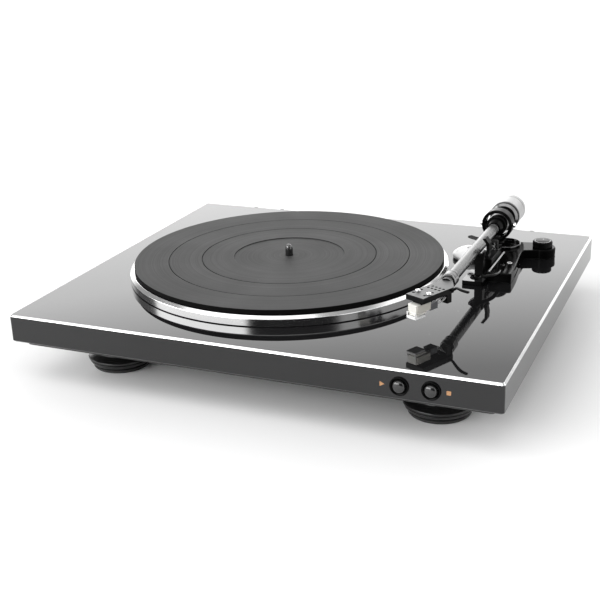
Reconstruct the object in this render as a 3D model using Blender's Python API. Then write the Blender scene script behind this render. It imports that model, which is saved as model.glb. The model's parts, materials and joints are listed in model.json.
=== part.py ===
"""Turntable record player: plinth, belt-driven platter, automatic gear and tonearm.

Sizes are in millimetres in the constants and functions, and MM turns them into Blender's metres.
The origin is on the table under the middle of the plinth: X to the right, Y to the back, Z up.
"""
import math

import bmesh
import bpy
from mathutils import Matrix, Vector

MM = 0.001
GAP = 0.3                     # clearance between pieces that rest on each other
ROUND_LARGE = 60              # sides of the largest round pieces
ROUND = 24
ROUND_SMALL = 16

# Plinth
PLINTH_WIDTH = 434.0
PLINTH_DEPTH = 368.0
DECK_Z = 63.0                 # height of the deck's top above the table
BAND_HEIGHT = 25.0            # height of the plinth's side band
WALL = 4.0
EDGE_CHAMFER = 1.6
COVER_INSET = 8.5             # the bottom cover stands this far inside the plinth's sides
COVER_BOTTOM_Z = 33.0
FOOT_X = 149.4
FOOT_Y = 117.8
FOOT_RADIUS = 29.2

# Platter and drive
SPINDLE_XY = (-33.6, 2.8)
SPINDLE_RADIUS = 3.5
SPINDLE_TOP = 23.7            # above the deck
PLATTER_RADIUS = 148.86
MAT_RADIUS = 144.75
PLATTER_BOTTOM = 0.6          # above the deck
PLATTER_RIM = 7.0
PLATTER_TOP = 9.4
MAT_TOP = 13.9
LABEL_RADIUS = 51.9
BELT_RING_RADIUS = 95.5
PULLEY_RADIUS = 6.0
PULLEY_DISTANCE = 118.0
PULLEY_ANGLE = 135.0
BELT_THICKNESS = 0.8
HUB_RADIUS = 16.0
HUB_BOTTOM = 5.3              # above the deck, clear of the pinion
GEAR_LOW_Z = DECK_Z + 1.6     # both gears lie between these two heights
GEAR_TOP_Z = DECK_Z + 4.9
TOOTH_DEPTH = 1.8
GEAR_DISTANCE = 51.0
GEAR_ANGLE = -60.0
GEAR_TIP_RADIUS = 38.4
GEAR_TEETH = 40
GEAR_GAP_TEETH = 5            # teeth left out where the gear faces the pinion at rest
PINION_TIP_RADIUS = 12.0
PINION_TEETH = 14

# Buttons on the front
BUTTON_X = {"start": 137.2, "stop": 162.0}
BUTTON_Z = 49.3
BUTTON_RADIUS = 5.2
BEZEL_RADIUS = 7.6
BUTTON_PROUD = 4.0            # how far the button's dome stands out of the front face

# Rear and insides
POWER_GLAND_X = -186.0
SIGNAL_GLAND_X = 112.0
GLAND_Z = 47.0
HINGE_X = 140.0
BOARD_CENTRE = (90.0, -120.0)
BOARD_LOW_Z = 41.0

# Tonearm
PIVOT_XY = (140.4, 104.0)
ARM_Z = DECK_Z + 29.3         # height of the arm tube's axis
TUBE_RADIUS = 5.1
TUBE_FRONT_Y = -60.0
YOKE_RADIUS = 14.6
YOKE_BORE = 11.6
YOKE_DEPTH = 11.0
BLOCK_RADIUS = 9.6
STEM_RADIUS = 6.3
WEIGHT_RADIUS = 13.8
WEIGHT_Y = (133.0, 162.0)
DIAL_RADIUS = 14.3
DIAL_Y = (125.5, 132.6)
SHAFT_RADIUS = 4.0
BASE_TOP = DECK_Z + 9.2
BASE_CENTRE = (150.0, 103.0)
BASE_RADIUS = 17.5
RING_CENTRE = (147.5, 103.6)
KNOB_XY = (182.5, 108.5)
KNOB_RADIUS = 9.2
POD_RADIUS = 12.2
SHELL_ANGLE = 24.5            # offset of the headshell from the tube
SHELL_FRONT = (127.0, -115.2)
SHELL_WIDTH = 18.3
SHELL_LENGTH = 37.0
SHELL_TOP = DECK_Z + 32.2
SHELL_BOTTOM = DECK_Z + 27.7
SOCKET_DROP = 8.6             # how far the lead socket hangs below the headshell
GUARD_BOTTOM = DECK_Z + 14.4
REST_Y = 25.0
REST_FOOT = ((131.5, 8.4), (150.4, 39.6))     # corners of the rest's foot plate
REST_FOOT_TOP = 3.9                           # above the deck
LIFT_ROD_XY = (147.0, 72.0)
BAR_END_ANGLE = -131.0        # the lift bar follows the arm's swing as far as this
LEVER_X = 172.9               # inner face of the lever's boss
LEVER_Y = 44.0
LEVER_Z = 69.0
CLIP_AXIS = (150.6, 86.5)     # x and z of the arm clip's hinge pin
CLIP_HALF = 4.2               # half the clip's length along its pin
ADAPTER_XY = (120.2, 83.8)
ADAPTER_RADIUS = 17.7


def clearScene():
    for obj in list(bpy.data.objects):
        bpy.data.objects.remove(obj, do_unlink=True)


def finish(name, colour, roughness, metallic=0.0):
    material = bpy.data.materials.new(name)
    material.use_nodes = True
    shader = material.node_tree.nodes["Principled BSDF"]
    shader.inputs["Base Color"].default_value = (*colour, 1.0)
    shader.inputs["Roughness"].default_value = roughness
    shader.inputs["Metallic"].default_value = metallic
    return material


def addPiece(name, mesh, material, origin=(0.0, 0.0, 0.0), sharp=35.0, cutter=False):
    """Makes an object of a bmesh in millimetres, with its origin where the piece turns or sits."""
    bmesh.ops.remove_doubles(mesh, verts=mesh.verts, dist=0.001)
    bmesh.ops.recalc_face_normals(mesh, faces=mesh.faces)
    bmesh.ops.translate(mesh, verts=mesh.verts, vec=-Vector(origin))
    bmesh.ops.scale(mesh, verts=mesh.verts, vec=(MM, MM, MM))
    data = bpy.data.meshes.new(name)
    mesh.to_mesh(data)
    mesh.free()
    data.shade_smooth()
    data.set_sharp_from_angle(angle=math.radians(sharp))
    obj = bpy.data.objects.new(name, data)
    obj.location = Vector(origin) * MM
    bpy.context.collection.objects.link(obj)
    if cutter:
        obj.hide_render = True
        obj.display_type = "WIRE"
    else:
        data.materials.append(material)
    return obj


def combine(obj, other, operation):
    """Cuts another shape out of an object, or joins it on."""
    modifier = obj.modifiers.new(operation.title(), "BOOLEAN")
    modifier.operation = operation
    modifier.object = other
    other.hide_render = True
    other.display_type = "WIRE"


def bevelEdges(obj, width, segments=2, angle=40.0):
    modifier = obj.modifiers.new("Bevel", "BEVEL")
    modifier.width = width * MM
    modifier.segments = segments
    modifier.limit_method = "ANGLE"
    modifier.angle_limit = math.radians(angle)


def arc(centre, radius, start, end, steps):
    """Points on a circle, from one angle to another, in degrees."""
    points = []
    for step in range(steps + 1):
        angle = math.radians(start + (end - start) * step / steps)
        points.append((centre[0] + radius * math.cos(angle), centre[1] + radius * math.sin(angle)))
    return points


def circle(centre, radius, steps):
    return arc(centre, radius, 0.0, 360.0 * (steps - 1) / steps, steps - 1)


def rectangle(x0, y0, x1, y1, radius=0.0, steps=3):
    """A rectangle's outline, with round corners where a radius is given."""
    if radius == 0.0:
        return [(x0, y0), (x1, y0), (x1, y1), (x0, y1)]
    points = []
    corners = ((x1 - radius, y0 + radius, -90), (x1 - radius, y1 - radius, 0),
               (x0 + radius, y1 - radius, 90), (x0 + radius, y0 + radius, 180))
    for x, y, start in corners:
        points += arc((x, y), radius, start, start + 90, steps)
    return points


def prism(outline, low, high, axis="Z"):
    """An outline carried from low to high along an axis; the outline's plane is XY, XZ or YZ."""
    mesh = bmesh.new()
    order = {"Z": (0, 1, 2), "Y": (0, 2, 1), "X": (2, 0, 1)}[axis]

    def level(height):
        points = [(a, b, height) for a, b in outline]
        return [mesh.verts.new([point[k] for k in order]) for point in points]

    floor = level(low)
    roof = level(high)
    mesh.faces.new(floor)
    mesh.faces.new(roof)
    for i in range(len(outline)):
        j = (i + 1) % len(outline)
        mesh.faces.new((floor[i], floor[j], roof[j], roof[i]))
    return mesh


def frameBand(inner, outer, low, high):
    """A closed band between two outlines with the same number of points."""
    mesh = bmesh.new()
    rings = []
    for outline, z in ((inner, low), (outer, low), (outer, high), (inner, high)):
        rings.append([mesh.verts.new((x, y, z)) for x, y in outline])
    count = len(inner)
    for k in range(4):
        a, b = rings[k], rings[(k + 1) % 4]
        for i in range(count):
            j = (i + 1) % count
            mesh.faces.new((a[i], a[j], b[j], b[i]))
    return mesh


def turned(profile, steps, centre=(0.0, 0.0, 0.0), axis="Z"):
    """A profile of (radius, height) points turned about an axis through the centre.

    A profile that starts and ends on the axis makes a solid; any other is closed into a ring.
    """
    mesh = bmesh.new()
    turn = {"Z": Matrix(), "Y": Matrix.Rotation(math.radians(-90), 4, "X"),
            "X": Matrix.Rotation(math.radians(90), 4, "Y")}[axis]
    place = Matrix.Translation(centre) @ turn
    rings = []
    for radius, height in profile:
        if radius == 0.0:
            rings.append([mesh.verts.new(place @ Vector((0.0, 0.0, height)))])
            continue
        around = circle((0, 0), radius, steps)
        rings.append([mesh.verts.new(place @ Vector((x, y, height))) for x, y in around])
    pairs = list(zip(rings, rings[1:]))
    if profile[0][0] > 0.0:
        pairs.append((rings[-1], rings[0]))
    for a, b in pairs:
        for i in range(steps):
            j = (i + 1) % steps
            if len(a) == 1 and len(b) == 1:
                break
            if len(a) == 1:
                mesh.faces.new((a[0], b[j], b[i]))
            elif len(b) == 1:
                mesh.faces.new((a[i], a[j], b[0]))
            else:
                mesh.faces.new((a[i], a[j], b[j], b[i]))
    return mesh


def rod(radius, low, high, steps, centre=(0.0, 0.0, 0.0), axis="Z"):
    return turned([(0.0, low), (radius, low), (radius, high), (0.0, high)], steps, centre, axis)


def tubeRing(bore, radius, low, high, steps, centre=(0.0, 0.0, 0.0), axis="Z"):
    return turned([(bore, low), (radius, low), (radius, high), (bore, high)], steps, centre, axis)


def sweptRod(path, radius, steps=8):
    """A round rod along a list of points, closed at both ends."""
    mesh = bmesh.new()
    rings = []
    for index, point in enumerate(path):
        before = Vector(path[max(index - 1, 0)])
        after = Vector(path[min(index + 1, len(path) - 1)])
        forward = (after - before).normalized()
        side = forward.cross(Vector((0, 0, 1))).normalized()
        rise = side.cross(forward)
        around = circle((0, 0), radius, steps)
        rings.append([mesh.verts.new(Vector(point) + side * x + rise * y) for x, y in around])
    for a, b in zip(rings, rings[1:]):
        for i in range(steps):
            j = (i + 1) % steps
            mesh.faces.new((a[i], a[j], b[j], b[i]))
    mesh.faces.new(rings[0])
    mesh.faces.new(rings[-1])
    return mesh


def toothedOutline(centre, tip, depth, teeth, missing=0, facing=0.0):
    """A gear's outline; the teeth nearest the facing angle are left out."""
    points = []
    for tooth in range(teeth):
        middle = 360.0 * tooth / teeth
        away = abs((middle - facing + 180.0) % 360.0 - 180.0)
        top = tip - depth if away < 180.0 * missing / teeth else tip
        for share, radius in ((-0.32, tip - depth), (-0.14, top), (0.14, top), (0.32, tip - depth)):
            angle = math.radians(middle + share * 360.0 / teeth)
            points.append((centre[0] + radius * math.cos(angle), centre[1] + radius * math.sin(angle)))
    return points


def shellPoint(across, back, z=0.0):
    """A point given across and back from the middle of the headshell's front edge."""
    angle = math.radians(SHELL_ANGLE)
    x = SHELL_FRONT[0] + across * math.cos(angle) + back * math.sin(angle)
    y = SHELL_FRONT[1] - across * math.sin(angle) + back * math.cos(angle)
    return (x, y, z)


def shellBox(across0, back0, across1, back1, low, high):
    corners = ((across0, back0), (across1, back0), (across1, back1), (across0, back1))
    return prism([shellPoint(a, b)[:2] for a, b in corners], low, high)


def makePlinth(finishes):
    half_width = PLINTH_WIDTH / 2
    half_depth = PLINTH_DEPTH / 2
    bottom = DECK_Z - BAND_HEIGHT
    top = DECK_Z
    mesh = bmesh.new()
    rings = []
    levels = ((bottom, 1.2), (bottom + 1.2, 0.0), (top - EDGE_CHAMFER, 0.0), (top, EDGE_CHAMFER))
    for z, inset in levels:
        outline = rectangle(-half_width + inset, -half_depth + inset,
                            half_width - inset, half_depth - inset, 2.0)
        rings.append([mesh.verts.new((x, y, z)) for x, y in outline])
    for a, b in zip(rings, rings[1:]):
        for i in range(len(a)):
            j = (i + 1) % len(a)
            mesh.faces.new((a[i], a[j], b[j], b[i]))
    mesh.faces.new(rings[0])
    mesh.faces.new(rings[-1])
    cabinet = addPiece("cabinet", mesh, finishes["black_gloss"])

    inside = (half_width - WALL, half_depth - WALL)
    hollow = prism(rectangle(-inside[0], -inside[1], inside[0], inside[1]), bottom - 5, top - WALL)
    cuts = [hollow]
    pulley = pulleyCentre()
    for centre, radius in ((SPINDLE_XY, 13.0), (pulley, 9.0), (PIVOT_XY, 8.0)):
        cuts.append(rod(radius, top - WALL - 2, top + 2, 32, (*centre, 0)))
    for x in BUTTON_X.values():
        cuts.append(rod(6.6, -half_depth - 2, -half_depth + WALL + 2, 24, (x, 0, BUTTON_Z), "Y"))
    for x in (POWER_GLAND_X, SIGNAL_GLAND_X):
        cuts.append(rod(4.3, half_depth - WALL - 2, half_depth + 2, 16, (x, 0, GLAND_Z), "Y"))
    for index, cut in enumerate(cuts):
        combine(cabinet, addPiece(f"cabinet_cut_{index}", cut, None, cutter=True), "DIFFERENCE")

    gear = gearCentre()
    pin = addPiece("gear_pin_shape", rod(3.0, top - 2, DECK_Z + 5.5, 16, (*gear, 0)), None, cutter=True)
    combine(cabinet, pin, "UNION")

    edge = (half_width - COVER_INSET, half_depth - COVER_INSET)
    cover_top = DECK_Z - WALL - GAP
    outer = prism(rectangle(-edge[0], -edge[1], edge[0], edge[1], 4.0), COVER_BOTTOM_Z, cover_top)
    cover = addPiece("bottom_cover", outer, finishes["black_plastic"])
    hollow = rectangle(-edge[0] + 2.5, -edge[1] + 2.5, edge[0] - 2.5, edge[1] - 2.5)
    inner = prism(hollow, COVER_BOTTOM_Z + 3, 80)
    combine(cover, addPiece("cover_cut_inside", inner, None, cutter=True), "DIFFERENCE")
    notch = prism(rectangle(120, -edge[1] - 3, 180, -edge[1] + 6), COVER_BOTTOM_Z + 6, 80)
    combine(cover, addPiece("cover_cut_buttons", notch, None, cutter=True), "DIFFERENCE")


def makeFeet(finishes):
    body = [(0, 3.3), (26.0, 3.3), (FOOT_RADIUS, 5.0), (FOOT_RADIUS, 8.0), (27.6, 8.3), (30.0, 9.0),
            (30.0, 11.2),
            (22.0, 13.5), (22.0, COVER_BOTTOM_Z - GAP), (0, COVER_BOTTOM_Z - GAP)]
    pad = [(0, 0), (25.4, 0), (26.0, 3.0), (0, 3.0)]
    for side, x in (("left", -FOOT_X), ("right", FOOT_X)):
        for end, y in (("front", -FOOT_Y), ("rear", FOOT_Y)):
            addPiece(f"foot_{end}_{side}", turned(body, ROUND, (x, y, 0)), finishes["black_gloss"], (x, y, 0))
            addPiece(f"foot_pad_{end}_{side}", turned(pad, ROUND, (x, y, 0)), finishes["rubber"], (x, y, 0))


def pulleyCentre():
    angle = math.radians(PULLEY_ANGLE)
    return (SPINDLE_XY[0] + PULLEY_DISTANCE * math.cos(angle),
            SPINDLE_XY[1] + PULLEY_DISTANCE * math.sin(angle))


def gearCentre():
    angle = math.radians(GEAR_ANGLE)
    return (SPINDLE_XY[0] + GEAR_DISTANCE * math.cos(angle), SPINDLE_XY[1] + GEAR_DISTANCE * math.sin(angle))


def beltOutline(ring, pulley):
    """Two arcs, round the platter's ring and the pulley, joined by their common tangents."""
    spread = math.degrees(math.acos((ring - pulley) / PULLEY_DISTANCE))
    around = arc(SPINDLE_XY, ring, PULLEY_ANGLE + spread, PULLEY_ANGLE + 360.0 - spread, 44)
    return around + arc(pulleyCentre(), pulley, PULLEY_ANGLE - spread, PULLEY_ANGLE + spread, 8)


def makeDrive(finishes):
    axis = (*SPINDLE_XY, 0.0)
    bore = SPINDLE_RADIUS + GAP
    under = DECK_Z + PLATTER_TOP - 2.0
    low = DECK_Z + PLATTER_BOTTOM
    rim = MAT_RADIUS + 1.4
    top = DECK_Z + PLATTER_TOP
    platter = [(bore, top), (rim, top), (PLATTER_RADIUS, DECK_Z + PLATTER_RIM), (PLATTER_RADIUS, low),
               (MAT_RADIUS - 0.8, low), (MAT_RADIUS - 0.8, under),
               (BELT_RING_RADIUS, under), (BELT_RING_RADIUS, low + 0.8),
               (BELT_RING_RADIUS - 3, low + 0.8), (BELT_RING_RADIUS - 3, under),
               (HUB_RADIUS, under), (HUB_RADIUS, DECK_Z + HUB_BOTTOM), (bore, DECK_Z + HUB_BOTTOM)]
    addPiece("platter", turned(platter, ROUND_LARGE, axis), finishes["aluminium"], axis)

    mat_top = DECK_Z + MAT_TOP
    mat_low = DECK_Z + PLATTER_TOP + GAP
    mat = [(bore, mat_top - 0.8), (LABEL_RADIUS - 0.5, mat_top - 0.8), (LABEL_RADIUS, mat_top)]
    mat += [(MAT_RADIUS - 0.6, mat_top), (MAT_RADIUS, mat_top - 0.6), (MAT_RADIUS, mat_low), (bore, mat_low)]
    addPiece("platter_mat", turned(mat, ROUND_LARGE, axis), finishes["rubber"], axis)

    tip = DECK_Z + SPINDLE_TOP
    spindle = [(0, 40), (SPINDLE_RADIUS, 40), (SPINDLE_RADIUS, tip - 4.5),
               (2.9, tip - 2.0), (1.6, tip - 0.5), (0, tip)]
    addPiece("spindle", turned(spindle, ROUND_SMALL, axis), finishes["steel"], axis)

    gears = finishes["nylon"]
    teeth = toothedOutline(SPINDLE_XY, PINION_TIP_RADIUS, TOOTH_DEPTH, PINION_TEETH)
    pinion = prism(teeth, GEAR_LOW_Z, GEAR_TOP_Z)
    piece = addPiece("hub_pinion", pinion, gears, axis)
    hole = addPiece("hub_pinion_bore", rod(bore, DECK_Z, DECK_Z + 8, 24, axis), None, cutter=True)
    combine(piece, hole, "DIFFERENCE")

    centre = gearCentre()
    teeth = toothedOutline(centre, GEAR_TIP_RADIUS, TOOTH_DEPTH, GEAR_TEETH, GEAR_GAP_TEETH,
                           GEAR_ANGLE + 180.0)
    piece = addPiece("cycle_gear", prism(teeth, GEAR_LOW_Z, GEAR_TOP_Z), gears, (*centre, 0))
    hole = addPiece("cycle_gear_bore", rod(3.4, DECK_Z, DECK_Z + 8, 16, (*centre, 0)), None, cutter=True)
    combine(piece, hole, "DIFFERENCE")

    pulley = pulleyCentre()
    low = DECK_Z + 1.2
    shape = [(0, 50.0), (1.5, 50.0), (1.5, low), (PULLEY_RADIUS + 0.9, low), (PULLEY_RADIUS, low + 0.6),
             (PULLEY_RADIUS, low + 5.2), (4.5, low + 5.8), (0, low + 5.8)]
    addPiece("motor_pulley", turned(shape, ROUND_SMALL, (*pulley, 0)), finishes["brass"], (*pulley, 0))
    reach = GAP + BELT_THICKNESS
    inner = beltOutline(BELT_RING_RADIUS + GAP, PULLEY_RADIUS + GAP)
    outer = beltOutline(BELT_RING_RADIUS + reach, PULLEY_RADIUS + reach)
    addPiece("drive_belt", frameBand(inner, outer, DECK_Z + 2.2, DECK_Z + 6.0), finishes["rubber"], axis)

    can = [(0, 37.5), (17.0, 37.5), (18.0, 38.5), (18.0, 55.0), (5.0, 55.0), (5.0, 57.6), (2.0, 57.6),
           (2.0, 49.0), (0, 49.0)]
    addPiece("motor", turned(can, ROUND_SMALL, (*pulley, 0)), finishes["steel"], (*pulley, 0))
    plate = prism(rectangle(pulley[0] - 30, pulley[1] - 21, pulley[0] + 30, pulley[1] + 21, 6), 55.3, 57.3)
    piece = addPiece("motor_plate", plate, finishes["steel"], (*pulley, 0))
    hole = addPiece("motor_plate_bore", rod(5.3, 50, 60, 24, (*pulley, 0)), None, cutter=True)
    combine(piece, hole, "DIFFERENCE")

    flange = DECK_Z - WALL - GAP
    housing = [(0, 37.5), (10, 37.5), (10, 55.5), (24, 55.5), (24, flange), (12, flange),
               (12, DECK_Z - 0.4), (5, DECK_Z - 0.4), (5, 39.2), (0, 39.2)]
    addPiece("bearing_housing", turned(housing, ROUND_SMALL, axis), finishes["steel"], axis)
    sleeve = tubeRing(bore, 4.7, 41.0, DECK_Z - 0.8, ROUND_SMALL, axis)
    addPiece("bearing_sleeve", sleeve, finishes["brass"], axis)


def makeButtons(finishes):
    face = -PLINTH_DEPTH / 2
    for name, x in BUTTON_X.items():
        centre = (x, 0, BUTTON_Z)
        reach = BUTTON_RADIUS + GAP
        bezel = [(reach, face + 4.4), (6.3, face + 4.4), (6.3, face - GAP), (BEZEL_RADIUS, face - GAP),
                 (BEZEL_RADIUS - 0.3, face - 1.0), (6.4, face - 1.4), (reach, face - 1.0)]
        addPiece(f"{name}_bezel", turned(bezel, ROUND, centre, "Y"), finishes["black_gloss"], centre)
        tip = face - BUTTON_PROUD
        button = [(0, tip), (2.6, tip + 0.3), (4.3, tip + 1.0), (BUTTON_RADIUS, tip + 2.2),
                  (BUTTON_RADIUS, face + 5.0), (6.6, face + 5.7), (6.6, face + 6.9),
                  (2.0, face + 6.9), (2.0, face + 11.0), (0, face + 11.0)]
        addPiece(f"{name}_button", turned(button, ROUND, centre, "Y"), finishes["grey_gloss"],
                 (x, face, BUTTON_Z))
        box = prism(rectangle(x - 7, face + 14.0, x + 7, face + 26.0), BUTTON_Z - 5, BUTTON_Z + 5)
        addPiece(f"{name}_switch", box, finishes["black_plastic"])


def makeInsidesAndRear(finishes):
    x, y = BOARD_CENTRE
    sheet = prism(rectangle(x - 55, y - 35, x + 55, y + 35), BOARD_LOW_Z, BOARD_LOW_Z + 1.6)
    board = addPiece("circuit_board", sheet, finishes["board"])
    blocks = ((-30, 0, 24, 18, 13), (10, 14, 16, 16, 8), (20, -16, 30, 8, 6), (-30, -24, 10, 10, 11))
    for index, (dx, dy, width, depth, height) in enumerate(blocks):
        outline = rectangle(x + dx - width / 2, y + dy - depth / 2, x + dx + width / 2, y + dy + depth / 2)
        block = addPiece(f"board_block_{index}", prism(outline, 42.0, 42.6 + height), None, cutter=True)
        combine(board, block, "UNION")

    back = PLINTH_DEPTH / 2
    for name, gland_x in (("power_gland", POWER_GLAND_X), ("signal_gland", SIGNAL_GLAND_X)):
        shape = [(2.4, back - 5), (4.0, back - 5), (4.0, back + GAP), (7.0, back + GAP), (6.4, back + 2.0),
                 (4.6, back + BUTTON_PROUD), (2.4, back + BUTTON_PROUD)]
        centre = (gland_x, 0, GLAND_Z)
        addPiece(name, turned(shape, 16, centre, "Y"), finishes["black_plastic"], centre)
    for name, hinge_x in (("hinge_socket_left", -HINGE_X), ("hinge_socket_right", HINGE_X)):
        x0, x1 = hinge_x - 18, hinge_x + 18
        socket = prism(rectangle(x0, back + GAP, x1, back + BUTTON_PROUD), 40.0, DECK_Z - 1.0)
        piece = addPiece(name, socket, finishes["black_plastic"])
        slot = prism(rectangle(x0 + 4, back + GAP + 0.9, x1 - 4, back + BUTTON_PROUD + 2), 44.0, DECK_Z + 3)
        combine(piece, addPiece(f"{name}_slot", slot, None, cutter=True), "DIFFERENCE")


def makeArmBase(finishes):
    left = 151.0
    reach = math.degrees(math.acos((left - BASE_CENTRE[0]) / BASE_RADIUS))
    outline = [(left, 21.0), (172.8, 22.4), (171.2, 50.0), (167.8, 84.0), (168.6, 93.5)]
    outline += arc(KNOB_XY, POD_RADIUS, -86.0, 96.0, 10)
    outline += arc(BASE_CENTRE, BASE_RADIUS, 52.0, 360.0 - reach, 18)
    base = addPiece("arm_base", prism(outline, DECK_Z + GAP, BASE_TOP), finishes["black_gloss"])
    bore = addPiece("arm_base_bore", rod(6.3, 55, 90, 24, (*PIVOT_XY, 0)), None, cutter=True)
    combine(base, bore, "DIFFERENCE")
    bevelEdges(base, 1.0)

    ring = [(13.7, BASE_TOP + GAP), (15.1, BASE_TOP + GAP), (15.1, BASE_TOP + 1.9), (14.4, BASE_TOP + 2.6),
            (13.7, BASE_TOP + 1.9)]
    centre = (*RING_CENTRE, 0)
    addPiece("arm_base_ring", turned(ring, 32, centre), finishes["chrome"], centre)

    x, y = LIFT_ROD_XY
    block = prism(rectangle(x - 4.2, y - 32, x + 3.4, y + 7.0, 1.5), DECK_Z + GAP, DECK_Z + 15.0)
    housing = addPiece("lift_housing", block, finishes["black_gloss"])
    bore = addPiece("lift_housing_bore", rod(2.3, DECK_Z + 4.0, 100, 16, (x, y, 0)), None, cutter=True)
    combine(housing, bore, "DIFFERENCE")

    tube_low = ARM_Z - TUBE_RADIUS - GAP
    shape = [(136.5, DECK_Z + GAP), (150.6, DECK_Z + GAP), (150.6, DECK_Z + 2.5), (147.2, DECK_Z + 3.5),
             (147.2, 82.0), (148.0, 84.0), (148.0, 90.2), (146.2, 90.2), (145.9, tube_low),
             (134.5, tube_low), (134.5, tube_low - 2.6), (139.8, 80.0), (139.8, DECK_Z + 3.5),
             (136.5, DECK_Z + 2.5)]
    rest = addPiece("arm_rest", prism(shape, REST_Y - 4, REST_Y + 4, "Y"), finishes["black_plastic"])
    low, high = REST_FOOT
    foot = prism(rectangle(*low, *high, 1.5), DECK_Z + 0.4, DECK_Z + REST_FOOT_TOP)
    combine(rest, addPiece("arm_rest_foot", foot, None, cutter=True), "UNION")
    bevelEdges(rest, 0.4, 1)


def makeArm(finishes):
    px, py = PIVOT_XY
    along = (px, 0, ARM_Z)
    yoke = addPiece("arm_yoke", rod(YOKE_RADIUS, py - YOKE_DEPTH / 2, py + YOKE_DEPTH / 2, 32, along, "Y"),
                    finishes["black_gloss"], (px, py, ARM_Z))
    column = rod(STEM_RADIUS, BASE_TOP + 1.2, ARM_Z - YOKE_BORE - 0.6, 24, (px, py, 0))
    stem = addPiece("arm_yoke_stem", column, None,
                    cutter=True)
    combine(yoke, stem, "UNION")
    hole = addPiece("arm_yoke_bore", rod(YOKE_BORE, py - 20, py + 20, 32, along, "Y"), None, cutter=True)
    combine(yoke, hole, "DIFFERENCE")
    for side, sign in (("left", -1), ("right", 1)):
        start, end = sorted((sign * (YOKE_RADIUS + GAP), sign * (YOKE_RADIUS + 2.3)))
        screw = rod(2.3, px + start, px + end, 16, (0, py, ARM_Z), "X")
        addPiece(f"pivot_screw_{side}", screw, finishes["chrome"], (px, py, ARM_Z))
    addPiece("arm_shaft", rod(5.0, 42.0, BASE_TOP + 0.9, 24, (px, py, 0)), finishes["steel"], (px, py, 0))

    pitch = (px, py, ARM_Z)
    front = py - 16.5
    block = [(0, front), (6.2, front), (7.8, front + 4), (7.8, py - 8.0), (BLOCK_RADIUS, py - 7.4),
             (BLOCK_RADIUS, py + 7.4), (7.5, py + 8.4), (7.5, py + 13.5), (0, py + 13.5)]
    addPiece("bearing_block", turned(block, ROUND, along, "Y"), finishes["satin"], pitch)
    tube = rod(TUBE_RADIUS, TUBE_FRONT_Y, front - GAP, ROUND, along, "Y")
    addPiece("arm_tube", tube, finishes["satin"], pitch)
    shaft = rod(SHAFT_RADIUS, py + 13.8, WEIGHT_Y[1] - 13, 20, along, "Y")
    addPiece("rear_shaft", shaft, finishes["chrome"], pitch)

    y0, y1 = WEIGHT_Y
    bore = SHAFT_RADIUS + GAP
    weight = [(0, y1 - 8), (bore, y1 - 8), (bore, y0), (WEIGHT_RADIUS - 0.6, y0), (WEIGHT_RADIUS, y0 + 0.6),
              (WEIGHT_RADIUS, y1 - 2.2), (WEIGHT_RADIUS - 0.8, y1 - 0.7), (WEIGHT_RADIUS - 2.4, y1), (0, y1)]
    addPiece("counterweight", turned(weight, 32, along, "Y"), finishes["weight_grey"], (px, y0, ARM_Z))
    y0, y1 = DIAL_Y
    dial = [(bore, y1), (bore, y0), (DIAL_RADIUS - 3, y0), (DIAL_RADIUS, y0 + 3.0), (DIAL_RADIUS, y1)]
    addPiece("force_dial", turned(dial, 32, along, "Y"), finishes["black_plastic"], (px, y0, ARM_Z))

    collar = [(5.5, -55.0), (6.0, -55.0), (6.5, -56.0), (6.5, -66.0), (6.0, -67.0), (5.5, -67.0)]
    addPiece("locking_collar", turned(collar, ROUND, along, "Y"), finishes["chrome"], (px, -61.0, ARM_Z))


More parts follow.
